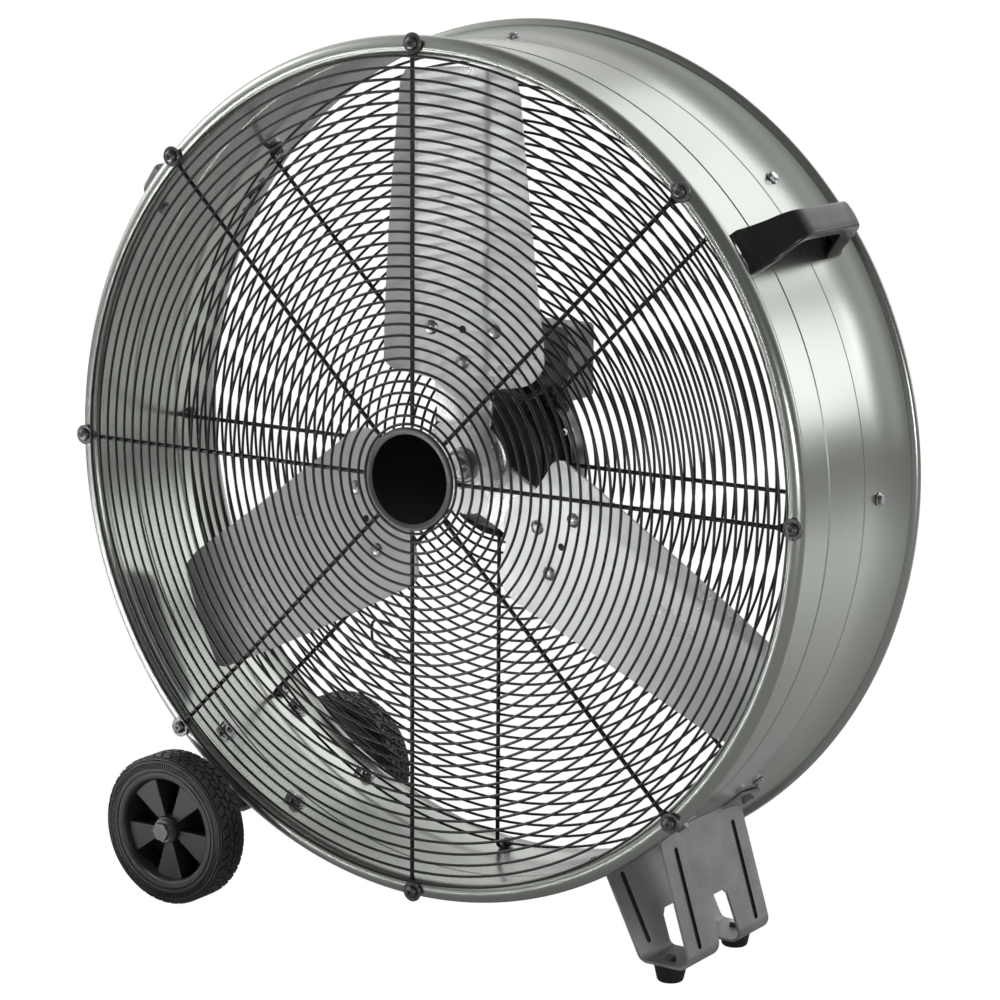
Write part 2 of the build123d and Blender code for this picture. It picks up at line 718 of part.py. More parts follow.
def control_box_lid():
    """The flat back of the control box, with the switch's hole."""
    lid = slab(chamfer(box_face().vertices(), BOX_CORNER), BOX_BACK, BOX_BACK + LID_T)
    lid -= prism(BIG_ROUND, MOTOR_R + 2 * SEAT, BOX_BACK - 1, BOX_BACK + LID_T + 1)
    return lid - slab(Pos(0, BOX_MID + 6) * Circle(KNOB_SHAFT_R + RUN), BOX_BACK - 1, BOX_BACK + LID_T + 1)


def speed_knob():
    """A round knob with a finger bar, on the switch's shaft."""
    back = BOX_BACK + LID_T
    base = slab(RegularPolygon(KNOB_R, 24), back + RUN, back + 5)
    bar = slab(Rectangle(8.0, 2 * KNOB_R - 4), back + 5, back + KNOB_H)
    shaft = slab(Circle(KNOB_SHAFT_R), BOX_BACK - 8, back + RUN)
    return Pos(0, 0, BOX_MID + 6) * (base + bar + shaft)


def motor_lead():
    """The short lead that loops from the motor's shoulder to the control box."""
    points = [(LEAD_IN_R, MOTOR_FRONT - BELL_FLANGE_T)]
    for i in range(LEAD_STEPS + 1):
        turn = pi * i / LEAD_STEPS
        middle = (LEAD_IN_R + LEAD_OUT_R) / 2
        reach = (LEAD_OUT_R - LEAD_IN_R) / 2
        points.append((middle - reach * cos(turn), LEAD_FRONT + LEAD_BEND * (1 - sin(turn))))
    points.append((LEAD_OUT_R, BOX_FRONT + BOX_WALL))
    c = cos(radians(LEAD_ANGLE))
    s = sin(radians(LEAD_ANGLE))
    path = Polyline(*[(r * c, y, AXIS_H + r * s) for r, y in points])
    start = Plane(origin=path @ 0, z_dir=path % 0)
    return sweep(start * RegularPolygon(LEAD_R, ROUND), path=path, transition=Transition.RIGHT)


def cord_hook():
    """A C-shaped hook for winding the cord, fixed to the rear guard's rings."""
    front = REAR_RING_FRONT + WIRE
    side = [(0, 1.0), (HOOK_REACH, 1.0), (HOOK_REACH, 0.55), (HOOK_REACH - HOOK_T, 0.55)]
    inner = 1.0 - HOOK_T / HOOK_HALF
    side += [(HOOK_REACH - HOOK_T, inner), (HOOK_T, inner)]
    points = [(front + y, HOOK_HALF * z) for y, z in side]
    points += [(front + y, -HOOK_HALF * z) for y, z in reversed(side)]
    place = Plane(origin=(-HOOK_X, 0, AXIS_H - HOOK_DROP), x_dir=(0, 1, 0), z_dir=(1, 0, 0))
    return extrude(place * make_face(Polyline(*points, close=True)), HOOK_W, dir=(1, 0, 0))


# ---- handles ----

HANDLE_FRONT = HANDLE_Y - HANDLE_LEN / 2
HANDLE_BACK = HANDLE_Y + HANDLE_LEN / 2


def handle_side():
    """The handle seen along the drum's skin: (depth, radius) outline with its window."""
    foot_r = DRUM_R + FOOT_T
    grip = GRIP_LEN / 2
    end = HANDLE_LEN / 2
    half = [(end, DRUM_R - 8), (end, foot_r), (end - FOOT_LEN * 0.7, foot_r), (grip + 3, GRIP_R - 2.5), (grip - 4, GRIP_R)]
    outline = [(y, r) for y, r in half] + [(-y, r) for y, r in reversed(half)]
    body = make_face(Polyline(*outline, close=True))
    sill = end - FOOT_LEN - 4
    top = grip - 9
    window = [(sill, DRUM_R - 9), (sill, foot_r - 2), (top, GRIP_R - GRIP_T), (-top, GRIP_R - GRIP_T)]
    window += [(-sill, foot_r - 2), (-sill, DRUM_R - 9)]
    return body - make_face(Polyline(*window, close=True))


def handle_plan():
    """The handle seen from outside: wide feet that draw in to the grip."""
    end = HANDLE_LEN / 2
    grip = GRIP_LEN / 2 - 6
    half = [(end, HANDLE_W / 2), (end - FOOT_LEN, HANDLE_W / 2), (grip, GRIP_W / 2)]
    upper = half + [(-y, w) for y, w in reversed(half)]
    lower = [(y, -w) for y, w in reversed(upper)]
    return chamfer(make_face(Polyline(*(upper + lower), close=True)).vertices(), 2.5)


def handle():
    """The right-hand handle: a moulded bail with a hollow underside."""
    place = radial(HANDLE_ANGLE, 0, HANDLE_Y)
    side = Plane(origin=place.origin, x_dir=(0, 1, 0), z_dir=-place.y_dir)
    bail = extrude(side * handle_side(), HANDLE_W / 2, both=True)
    bail &= outward(handle_plan(), HANDLE_ANGLE, DRUM_R - 30, GRIP_R + 10, HANDLE_Y)
    channel = Rectangle(HANDLE_LEN, GRIP_W - 2 * SKIRT)
    bail -= outward(channel, HANDLE_ANGLE, DRUM_R + FOOT_T + 4, GRIP_R - GRIP_T + SKIRT, HANDLE_Y) & bail_window(place)
    bail -= drum_space()
    for y in handle_screw_depths():
        hole = RegularPolygon(BOLT_R - 0.4, ROUND)
        bail -= outward(hole, HANDLE_ANGLE, DRUM_R - 5, DRUM_R + FOOT_T - 1, y)
    return bail


def bail_window(place):
    """The room under the grip, for the groove in its underside."""
    grip = GRIP_LEN / 2 - 9
    side = Plane(origin=place.origin, x_dir=(0, 1, 0), z_dir=-place.y_dir)
    face = Pos(0, GRIP_R) * Rectangle(2 * grip, 60)
    return extrude(side * face, HANDLE_W, both=True)


def handle_screw_depths():
    return [HANDLE_FRONT + HANDLE_SCREW_IN, HANDLE_BACK - HANDLE_SCREW_IN]


def handle_screws():
    """Pan screws from inside the drum into the handles' feet."""
    pieces = []
    for y in handle_screw_depths():
        seat = wall_r(y - PAN_R, -WALL) - 0.05
        top = DRUM_R + FOOT_T - 1.5
        screw = outward(RegularPolygon(PAN_R, 12), HANDLE_ANGLE, seat - 3, seat, y)
        screw += outward(RegularPolygon(BOLT_R - 0.5, ROUND), HANDLE_ANGLE, seat, top, y)
        pieces += [screw, mirrored(screw)]
    return group(pieces)


# ---- brackets ----

TAB_Y = BRACKET_HALF - TAB_W / 2


def skin_point(angle, offset=0.0):
    """A point (x, z) on the drum's skin."""
    r = DRUM_R + offset
    return (r * cos(radians(angle)), AXIS_H + r * sin(radians(angle)))


FOOT_CORNER_OUT = skin_point(FOOT_WALL_OUT, SEAT)[0] + FOOT_SPREAD_OUT
FOOT_CORNER_IN = skin_point(FOOT_WALL_IN, SEAT)[0] + FOOT_SPREAD_IN
FOOT_X = FOOT_CORNER_IN + FOOT_INSET


def folded(points, bend):
    """A sheet folded through (x, z) points, on its inner side, along the fan."""
    line = FilletPolyline(*points, radius=bend - SHEET / 2)
    return trace(line, SHEET)


def along(face):
    """An (x, z) section run along the bracket's length."""
    place = Plane(origin=(0, BRACKET_HALF, 0), x_dir=(1, 0, 0), z_dir=(0, -1, 0))
    return extrude(place * face, 2 * BRACKET_HALF, dir=(0, -1, 0))


def tabs(wall_angle, step):
    """The two tabs that lie on the drum, from a bracket's wall outwards, with their holes."""
    start = min(wall_angle, wall_angle + step * TAB_OVER)
    end = max(wall_angle, wall_angle + step * TAB_OVER)
    hole = RegularPolygon(BOLT_R + FIT, ROUND)
    pieces = []
    for low in (-BRACKET_HALF, BRACKET_HALF - TAB_W):
        strip = turned(wall_band(SEAT, SEAT + SHEET, low, low + TAB_W), start, end)
        angle = wall_angle + step * TAB_BOLT
        pieces.append(strip - outward(hole, angle, DRUM_R - 10, DRUM_R + 20, low + TAB_W / 2))
    return pieces


def bracket_bolt_places(wall_angle, step):
    return [(wall_angle + step * TAB_BOLT, y) for y in (-TAB_Y, TAB_Y)]


def channel_bracket(points, walls):
    """A folded channel with four tabs that are bolted to the drum."""
    bracket = along(folded(points, BEND_R)) - drum_space()
    for wall_angle, step in walls:
        for piece in tabs(wall_angle, step):
            bracket += piece
    return bracket


FOOT_WALLS = ((FOOT_WALL_OUT, 1), (FOOT_WALL_IN, -1))
WHEEL_WALLS = ((WHEEL_WALL_OUT, -1), (WHEEL_WALL_IN, 1))


def wall_start(angle, corner):
    """Where a wall's middle line starts, a little inside the drum's skin."""
    x, z = skin_point(angle, SEAT)
    dx = x - corner[0]
    dz = z - corner[1]
    return (x + dx * 0.12, z + dz * 0.12)


def foot_bracket():
    """The folded bracket that carries the two rubber feet."""
    half = SHEET / 2
    low = BRACKET_FLOOR + half
    out_corner = (FOOT_CORNER_OUT - half, low)
    in_corner = (FOOT_CORNER_IN + half, low)
    points = [
        wall_start(FOOT_WALL_OUT, out_corner),
        out_corner,
        in_corner,
        wall_start(FOOT_WALL_IN, in_corner),
    ]
    bracket = channel_bracket(points, FOOT_WALLS)
    bracket -= foot_arch()
    for groove in pressed_grooves(FOOT_WALL_OUT, out_corner, 1) + pressed_grooves(FOOT_WALL_IN, in_corner, -1):
        bracket -= groove
    for y in (-FOOT_Y, FOOT_Y):
        bracket -= Pos(FOOT_X, y, BRACKET_FLOOR - SHEET) * extrude(RegularPolygon(BOLT_R + FIT, ROUND), 3 * SHEET)
    return bracket


def pressed_grooves(angle, corner, side):
    """The two upright grooves in a wall's outer face, as bars to cut away."""
    x, z = skin_point(angle, SEAT)
    rise = Vector(x - corner[0], 0, z - corner[1])
    out = Vector(0, 1, 0).cross(rise.normalized()) * side
    middle = Vector(corner[0], 0, corner[1]) + rise / 2 + out * (SHEET / 2 + 1)
    place = Plane(origin=middle, x_dir=(0, side, 0), z_dir=out)
    bar = Rectangle(SLOT_W, rise.length * SLOT_SHARE)
    bar = chamfer(bar.vertices(), SLOT_W * 0.3)
    return [extrude(place * Pos(y, 0) * bar, SLOT_D + 1, dir=-out) for y in (-SLOT_Y, SLOT_Y)]


def foot_arch():
    """The arch between the two legs, through both walls and the floor."""
    points = [(-ARCH_LOW, -5), (ARCH_LOW, -5), (ARCH_HIGH, ARCH_H), (-ARCH_HIGH, ARCH_H)]
    face = make_face(Polyline(*points, close=True))
    tops = face.vertices().sort_by(Axis.Y)[-2:]
    face = chamfer(tops, 5.0)
    place = Plane(origin=(FOOT_CORNER_IN - 60, 0, BRACKET_FLOOR), x_dir=(0, 1, 0), z_dir=(1, 0, 0))
    return extrude(place * face, 180.0, dir=(1, 0, 0))


def frustum(sides, r_low, r_high, height):
    """A many-sided cone stub that stands on the floor, with flat sides."""
    low = [(*polar(r_low, i * 360 / sides), 0) for i in range(sides)]
    high = [(*polar(r_high, i * 360 / sides), height) for i in range(sides)]
    faces = [make_face(Polyline(*low, close=True)), make_face(Polyline(*high, close=True))]
    for i in range(sides):
        corners = (low[i - 1], low[i], high[i], high[i - 1])
        faces.append(make_face(Polyline(*corners, close=True)))
    return Solid(Shell(faces))


def rubber_foot(y):
    """A conical rubber foot under the bracket."""
    foot = frustum(COARSE_SIDES, FOOT_BOTTOM_R, FOOT_TOP_R, BRACKET_FLOOR)
    foot -= Pos(0, 0, 6) * extrude(RegularPolygon(BOLT_R + 0.1, ROUND), BRACKET_FLOOR)
    return Pos(FOOT_X, y, 0) * foot


def foot_screws():
    """A screw through the bracket's floor into each foot."""
    pieces = []
    for y in (-FOOT_Y, FOOT_Y):
        top = BRACKET_FLOOR + SHEET
        head = Pos(FOOT_X, y, top) * extrude(hexagon(HEX_AF), HEX_H)
        shank = Pos(FOOT_X, y, 7) * extrude(RegularPolygon(BOLT_R, ROUND), top - 7)
        pieces.append(head + shank)
    return group(pieces)


def wheel_frame():
    """The wheel bracket's own axes: x across it, y towards the fan axis."""
    angle = (WHEEL_WALL_OUT + WHEEL_WALL_IN) / 2
    return radians(angle)


def wheel_point(r, across):
    """A point (x, z) at a radius, moved across the wheel bracket."""
    a = wheel_frame()
    return (r * cos(a) - across * sin(a), AXIS_H + r * sin(a) + across * cos(a))


def wheel_bracket():
    """The folded bracket over the axle, with an ear at each end."""
    half = SHEET / 2
    r = WHEEL_BRACKET_R - half
    left = wheel_point(r, half - WHEEL_BRACKET_HALF)
    right = wheel_point(r, WHEEL_BRACKET_HALF - half)
    points = [
        wall_start(WHEEL_WALL_OUT, left),
        left,
        right,
        wall_start(WHEEL_WALL_IN, right),
    ]
    bracket = channel_bracket(points, WHEEL_WALLS)
    for y in (SHEET - BRACKET_HALF, BRACKET_HALF):
        bracket += wheel_ear(y)
    axle = Pos(WHEEL_X, WHEEL_R) * Circle(AXLE_R + 0.1)
    return bracket - slab(axle, -BRACKET_HALF - 5, BRACKET_HALF + 5, z=0)


def wheel_ear(y_back):
    """An end plate from the channel's bottom down to the axle."""
    top = WHEEL_BRACKET_R - SHEET / 2
    corners = [wheel_point(top, BEND_R - WHEEL_BRACKET_HALF), wheel_point(top, WHEEL_BRACKET_HALF - BEND_R)]
    face = make_hull([Pos(WHEEL_X, WHEEL_R) * Circle(EAR_R).edge(), Line(*corners)])
    return slab(face, y_back - SHEET, y_back, z=0)


def bracket_bolts():
    """Bolts through the brackets' tabs and the drum's wall."""
    pieces = []
    for angle, y in bracket_bolt_angles():
        seat = wall_r(y + HEX_CORNER, SEAT + SHEET) + 0.05
        tail = wall_r(y - HEX_CORNER, -WALL) - NUT_H - 2
        pieces.append(wall_bolt(angle, y, seat, tail))
    return group(pieces)


def bracket_nuts():
    pieces = []
    for angle, y in bracket_bolt_angles():
        pieces.append(wall_nut(angle, y, wall_r(y - HEX_CORNER, -WALL) - 0.1))
    return group(pieces)


def bracket_bolt_angles():
    places = []
    for wall_angle, step in FOOT_WALLS + WHEEL_WALLS:
        places += bracket_bolt_places(wall_angle, step)
    return places


def wall_bolts():
    """Every place where a bolt or screw goes through the drum's wall."""
    places = [(a, REAR_BOLT_Y) for a in spoke_angles()]
    places += bracket_bolt_angles()
    for angle in (HANDLE_ANGLE, 180 - HANDLE_ANGLE):
        places += [(angle, y) for y in handle_screw_depths()]
    return places


# ---- wheels ----

WHEEL_IN = WHEEL_OUT - WHEEL_W


def wheel_disc(radius, y_front, y_back, hole=0.0):
    return disc(radius, y_front, y_back, hole, x=WHEEL_X, z=WHEEL_R)


def wheel_prism(sides, radius, y_front, y_back, hole=0.0):
    return Pos(WHEEL_X, 0, WHEEL_R - AXIS_H) * prism(sides, radius, y_front, y_back, hole)


def wheel_tyre():
    """The front wheel's tyre."""
    return wheel_prism(BIG_ROUND, WHEEL_R, -WHEEL_OUT, -WHEEL_IN, hole=RIM_R)


def wheel_rim():
    """The front wheel's rim: a barrel, a dished web with five windows and a hub."""
    rim = wheel_prism(BIG_ROUND, RIM_R, -WHEEL_OUT, -WHEEL_IN)
    for start, end in ((-WHEEL_OUT, -WHEEL_OUT + WEB_IN), (-WHEEL_IN - WEB_IN, -WHEEL_IN)):
        rim -= wheel_prism(FINE_SIDES, RIM_IN_R, start, end, hole=HUB_OUT_R)
    for i in range(WINDOWS):
        rim -= window(90 + i * 360 / WINDOWS)
    return rim - wheel_disc(AXLE_R + BORE_FIT, -WHEEL_OUT - 1, -WHEEL_IN + 1)


def window(angle):
    """A pocket between two spokes of the rim, closed by a web at its back."""
    low = HUB_OUT_R + 3
    high = RIM_IN_R - 2
    half = 17.0
    face = Polyline(
        polar(low, -half * 1.15),
        polar(high, -half),
        polar(high, half),
        polar(low, half * 1.15),
        close=True,
    )
    face = make_face(face)
    pocket = slab(face, -WHEEL_OUT - 1, -WHEEL_IN - WEB_IN - WEB_T / 2, z=0)
    return Pos(WHEEL_X, 0, WHEEL_R) * Rot(0, -angle, 0) * pocket


def polar(r, angle):
    return (r * cos(radians(angle)), r * sin(radians(angle)))


def axle():
    return wheel_disc(AXLE_R, -WHEEL_OUT, WHEEL_OUT)


def axle_sleeves():
    """Spacer tubes on the axle between the bracket's ears and the wheels."""
    front = wheel_prism(MID_ROUND, SLEEVE_R, -WHEEL_IN + RUN, -BRACKET_HALF, hole=AXLE_R + RUN)
    return group([front, rear(front)])


def axle_bolts():
    """A bolt head and washer on each end of the axle."""
    start = WHEEL_OUT + RUN
    washer = wheel_prism(MID_ROUND, AXLE_WASHER_R, -start - AXLE_WASHER_T, -start)
    head = slab(hexagon(AXLE_HEX_AF), -start - AXLE_WASHER_T - AXLE_HEX_H, -start - AXLE_WASHER_T, WHEEL_X, WHEEL_R)
    stud = wheel_prism(ROUND, AXLE_R, -start, -WHEEL_OUT)
    front = washer + head + stud
    return group([front, rear(front)])


def rear(piece):
    """The rear wheel's copy of a front wheel's piece."""
    return mirror(piece, Plane.XZ)


# ---- all pieces ----

def build():
    """Every named piece of the fan."""
    upright = blade()
    tyre = wheel_tyre()
    rim = wheel_rim()
    right = handle()
    parts = {
        "drum_shell": drum_shell(),
        "front_guard_rings": front_guard_rings(),
        "front_guard_spokes": front_guard_spokes(),
        "front_guard_screws": front_guard_screws(),
        "badge_bezel": badge_bezel(),
        "badge_disc": badge_disc(),
        "rear_guard_rings": rear_guard_rings(),
        "rear_guard_spokes": rear_guard_spokes(),
        "rear_guard_bolts": rear_guard_bolts(),
        "rear_guard_nuts": rear_guard_nuts(),
        "motor_mount_ring": motor_mount_ring(),
        "motor_mount_bolts": motor_mount_bolts(),
        "motor_body": motor_body(),
        "motor_front_bell": motor_front_bell(),
        "motor_rear_cover": motor_rear_cover(),
        "front_bearing": bearing(BEARING_FRONT),
        "rear_bearing": bearing(BEARING_BACK),
        "stator": stator(),
        "rotor_core": rotor_core(),
        "motor_shaft": motor_shaft(),
        "spider_hub": spider_hub(),
        "hub_nut": hub_nut(),
        "blade_rivets": blade_rivets(),
        "control_box": control_box(),
        "control_box_lid": control_box_lid(),
        "speed_knob": speed_knob(),
        "cable_gland": cable_gland(),
        "motor_lead": motor_lead(),
        "cord_hook": cord_hook(),
        "handle_right": right,
        "handle_left": mirrored(right),
        "handle_screws": handle_screws(),
        "foot_bracket": foot_bracket(),
        "wheel_bracket": wheel_bracket(),
        "bracket_bolts": bracket_bolts(),
        "bracket_nuts": bracket_nuts(),
        "rubber_foot_front": rubber_foot(-FOOT_Y),
        "rubber_foot_rear": rubber_foot(FOOT_Y),
        "foot_screws": foot_screws(),
        "axle": axle(),
        "axle_sleeves": axle_sleeves(),
        "axle_bolts": axle_bolts(),
        "front_wheel_rim": rim,
        "front_wheel_tyre": tyre,
        "rear_wheel_rim": rear(rim),
        "rear_wheel_tyre": rear(tyre),
    }
    for i, angle in enumerate(blade_angles()):
        parts[f"blade_{i + 1}"] = around(upright, angle)
    return parts


os.makedirs("parts", exist_ok=True)
for name, piece in build().items():
    export_step(piece, f"parts/{name}.step")
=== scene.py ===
from math import cos, pi, radians, sin, sqrt

import bmesh
import bpy
from mathutils import Matrix, Vector


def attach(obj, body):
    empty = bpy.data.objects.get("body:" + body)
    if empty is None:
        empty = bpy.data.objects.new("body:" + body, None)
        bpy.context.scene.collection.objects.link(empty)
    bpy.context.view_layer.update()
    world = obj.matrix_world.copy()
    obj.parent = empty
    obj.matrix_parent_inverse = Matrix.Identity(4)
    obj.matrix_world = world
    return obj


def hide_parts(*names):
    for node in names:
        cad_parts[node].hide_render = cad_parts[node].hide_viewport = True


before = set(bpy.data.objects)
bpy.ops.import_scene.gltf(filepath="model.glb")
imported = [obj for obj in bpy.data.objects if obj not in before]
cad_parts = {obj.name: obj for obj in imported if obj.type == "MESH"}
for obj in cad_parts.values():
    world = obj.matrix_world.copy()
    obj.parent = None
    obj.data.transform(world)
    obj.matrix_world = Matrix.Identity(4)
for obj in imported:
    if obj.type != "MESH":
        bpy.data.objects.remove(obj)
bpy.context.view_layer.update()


# ---- Drum ----
# A strip of sheet steel rolled into a short drum and seam-welded. Its front edge
# is curled into a round bead, its back flares out to a wired lip, and it has a
# pale silver-green metallic coat inside and out.

AXIS_H = 0.436
DRUM_R = 0.3865
DRUM_WALL = 0.0015
BEAD_Y = -0.094
BEAD_R = 0.009
FLARE_Y = 0.0385
LIP_Y = 0.1025
LIP_R = 0.3986
LIP_WIRE_R = 0.004
DRUM_STEPS = 256
FLARE_STEPS = 14


def node(group, kind, **sockets):
    """A node of a material or a tree, with its sockets set or linked by name."""
    made = group.nodes.new(kind)
    for label, value in sockets.items():
        socket = made.inputs[label.replace("_", " ")]
        if isinstance(value, bpy.types.NodeSocket):
            group.links.new(value, socket)
        else:
            socket.default_value = value
    return made


def sums(group, how, *values):
    """One step of arithmetic in a material or a tree."""
    made = group.nodes.new("ShaderNodeMath")
    made.operation = how
    for socket, value in zip(made.inputs, values):
        if isinstance(value, bpy.types.NodeSocket):
            group.links.new(value, socket)
        else:
            socket.default_value = value
    return made.outputs["Value"]


def painted(
    name, colour, rough, metal=0.0, spread=0.05,
    cloud=7.0, grain=900.0, bump=0.0, coat=0.0, gloss=0.5, speck=0.35,
):
    """A coat that varies a little, as real coats do: speck is the share of its fine grain."""
    material = bpy.data.materials.new(name)
    material.use_nodes = True
    group = material.node_tree
    shader = group.nodes["Principled BSDF"]
    shader.inputs["Metallic"].default_value = metal
    shader.inputs["Coat Weight"].default_value = coat
    shader.inputs["Coat Roughness"].default_value = 0.15
    shader.inputs["Specular IOR Level"].default_value = gloss
    where = node(group, "ShaderNodeTexCoord").outputs["Object"]
    clouds = node(group, "ShaderNodeTexNoise", Vector=where, Scale=cloud, Detail=4.0).outputs["Fac"]
    fine = node(group, "ShaderNodeTexNoise", Vector=where, Scale=grain, Detail=2.0).outputs["Fac"]
    both = sums(group, "MULTIPLY_ADD", fine, speck, clouds)
    lowest = 0.175 + speck / 2
    highest = 0.825 + speck / 2
    tint = node(group, "ShaderNodeMapRange", Value=both, From_Min=lowest, From_Max=highest)
    mix = node(group, "ShaderNodeMix")
    mix.data_type = "RGBA"
    mix.inputs["A"].default_value = (*[max(0.0, c * (1 - spread)) for c in colour], 1)
    mix.inputs["B"].default_value = (*[min(1.0, c * (1 + spread)) for c in colour], 1)
    group.links.new(tint.outputs["Result"], mix.inputs["Factor"])
    group.links.new(mix.outputs["Result"], shader.inputs["Base Color"])
    dull = node(group, "ShaderNodeMapRange", Value=clouds, From_Min=0.3, From_Max=0.7)
    dull.inputs["To Min"].default_value = rough * 0.88
    dull.inputs["To Max"].default_value = rough * 1.12
    group.links.new(dull.outputs["Result"], shader.inputs["Roughness"])
    if bump:
        relief = node(group, "ShaderNodeBump", Strength=0.6, Distance=bump, Height=fine)
        group.links.new(relief.outputs["Normal"], shader.inputs["Normal"])
    return material


def lathe(outline, steps):
    """A closed (radius, depth) outline turned about the Y axis, as points and faces."""
    points = []
    faces = []
    count = len(outline)
    for i in range(steps):
        turn = 2 * pi * i / steps
        points += [(r * cos(turn), y, r * sin(turn)) for r, y in outline]
    for i in range(steps):
        here = i * count
        there = (i + 1) % steps * count
        for j in range(count):
            k = (j + 1) % count
            faces.append((here + j, here + k, there + k, there + j))
    return points, faces


def moved(shape, matrix):
    return [tuple(matrix @ Vector(p)) for p in shape[0]], shape[1]


def joined(*shapes):
    """Several shapes as one list of points and one of faces."""
    points = []
    faces = []
    for shape in shapes:
        start = len(points)
        points += shape[0]
        faces += [tuple(start + i for i in face) for face in shape[1]]
    return points, faces


def smooth(mesh, sharp):
    """Merges doubles, turns faces outwards and shades all but the sharp edges smooth."""
    shape = bmesh.new()
    shape.from_mesh(mesh)
    bmesh.ops.remove_doubles(shape, verts=shape.verts, dist=2e-6)
    bmesh.ops.dissolve_degenerate(shape, edges=shape.edges, dist=1e-6)
    bmesh.ops.recalc_face_normals(shape, faces=shape.faces)
    shape.to_mesh(mesh)
    shape.free()
    mesh.polygons.foreach_set("use_smooth", [True] * len(mesh.polygons))
    mesh.set_sharp_from_angle(angle=radians(sharp))
    mesh.update()


def solid(name, shape, material, sharp=35.0):
    """An object made from points and faces."""
    mesh = bpy.data.meshes.new(name)
    mesh.from_pydata(shape[0], [], shape[1])
    smooth(mesh, sharp)
    mesh.materials.append(material)
    thing = bpy.data.objects.new(name, mesh)
    bpy.context.scene.collection.objects.link(thing)
    return thing


def settle(thing, body, slot, *nodes):
    """The thing moves with a body and stands for these nodes; slot is not used."""
    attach(thing, body)
    if nodes:
        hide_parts(*nodes)


def at_axis(x=0.0, y=0.0, z=AXIS_H):
    return Matrix.Translation((x, y, z))


def arc(middle, radius, start, end, count):
    """Points (radius, depth) on an arc, its angles in degrees."""
    steps = [start + (end - start) * i / count for i in range(count + 1)]
    return [(middle[0] + radius * cos(radians(a)), middle[1] + radius * sin(radians(a))) for a in steps]


flare_depth = LIP_Y - FLARE_Y
flare_rise = LIP_R - DRUM_R
flare_rho = (flare_depth**2 + flare_rise**2) / (2 * flare_rise)


def skin(y):
    """Radius of the drum's outer face at a depth."""
    if y <= FLARE_Y:
        return DRUM_R
    return DRUM_R + flare_rho - sqrt(flare_rho**2 - (y - FLARE_Y) ** 2)


groove = [(0.0, -0.0386), (-0.0005, -0.0380), (-0.0006, -0.0374)]
groove += [(0.0004, -0.0368), (0.0004, -0.0362), (0.0, -0.0356)]
step = [(0.0, 0.0262), (-0.0004, 0.0268), (-0.0004, 0.0276), (0.0, 0.0282)]
outside = [(DRUM_R + r, y) for r, y in groove + step]
flare_places = [FLARE_Y + flare_depth * i / FLARE_STEPS for i in range(FLARE_STEPS)]
outside += [(skin(y), y) for y in flare_places]
lip = arc((LIP_R, LIP_Y), LIP_WIRE_R, -70.0, 200.0, 16)
inside = [(skin(y) - DRUM_WALL, y) for y in reversed(flare_places[1:])]
inside += [(DRUM_R - DRUM_WALL - r, y) for r, y in reversed(groove)]
bead = arc((DRUM_R - DRUM_WALL / 2, BEAD_Y), BEAD_R, 97.0, 443.0, 30)
drum_coat = painted("drum_coat", (0.49, 0.518, 0.475), 0.25, metal=0.88, spread=0.03)
drum_shape = lathe(outside + lip + inside + bead, DRUM_STEPS)
drum = solid("drum", moved(drum_shape, at_axis()), drum_coat, sharp=28.0)
settle(drum, "frame", "drum_coat", "drum_shell")


# ---- Front guard rings ----
# Thirty-two rings of black 2.6 mm steel wire lie in one plane, spot-welded to the
# fronts of eight spokes, with one more ring close round the badge's frame.

GUARD_R = 0.377
WIRE_D = 0.0026
FRONT_RING_Y = -0.1084
FRONT_RINGS = 32
FRONT_INNER_R = 0.0577
FRONT_PITCH = (GUARD_R - FRONT_INNER_R) / (FRONT_RINGS - 1)
RING_SIDES = 176
COLLAR_R = 0.0500


def tree(name, *inputs):
    """An empty Geometry Nodes tree with named inputs."""
    group = bpy.data.node_groups.new(name, "GeometryNodeTree")
    for label, kind in inputs:
        group.interface.new_socket(label, in_out="INPUT", socket_type="NodeSocket" + kind)
    group.interface.new_socket("Geometry", in_out="OUTPUT", socket_type="NodeSocketGeometry")
    return group, group.nodes.new("NodeGroupInput"), group.nodes.new("NodeGroupOutput")


def finish(group, out, shape, material):
    """Ends a tree in real geometry with its material."""
    real = node(group, "GeometryNodeRealizeInstances", Geometry=shape)
    dressed = node(group, "GeometryNodeSetMaterial", Geometry=real.outputs[0], Material=material)
    group.links.new(dressed.outputs[0], out.inputs["Geometry"])


def grown(name, group, values, sharp=35.0):
    """Runs a tree once and keeps what it makes as a plain mesh."""
    thing = bpy.data.objects.new(name, bpy.data.meshes.new(name + "_seed"))
    modifier = thing.modifiers.new(group.name, "NODES")
    modifier.node_group = group
    for item in group.interface.items_tree:
        if item.name in values and item.in_out == "INPUT":
            modifier[item.identifier] = values[item.name]
    bpy.context.scene.collection.objects.link(thing)
    bpy.context.view_layer.update()
    graph = bpy.context.evaluated_depsgraph_get()
    mesh = bpy.data.meshes.new_from_object(thing.evaluated_get(graph), depsgraph=graph)
    thing.modifiers.remove(modifier)
    thing.data = mesh
    smooth(mesh, sharp)
    return thing


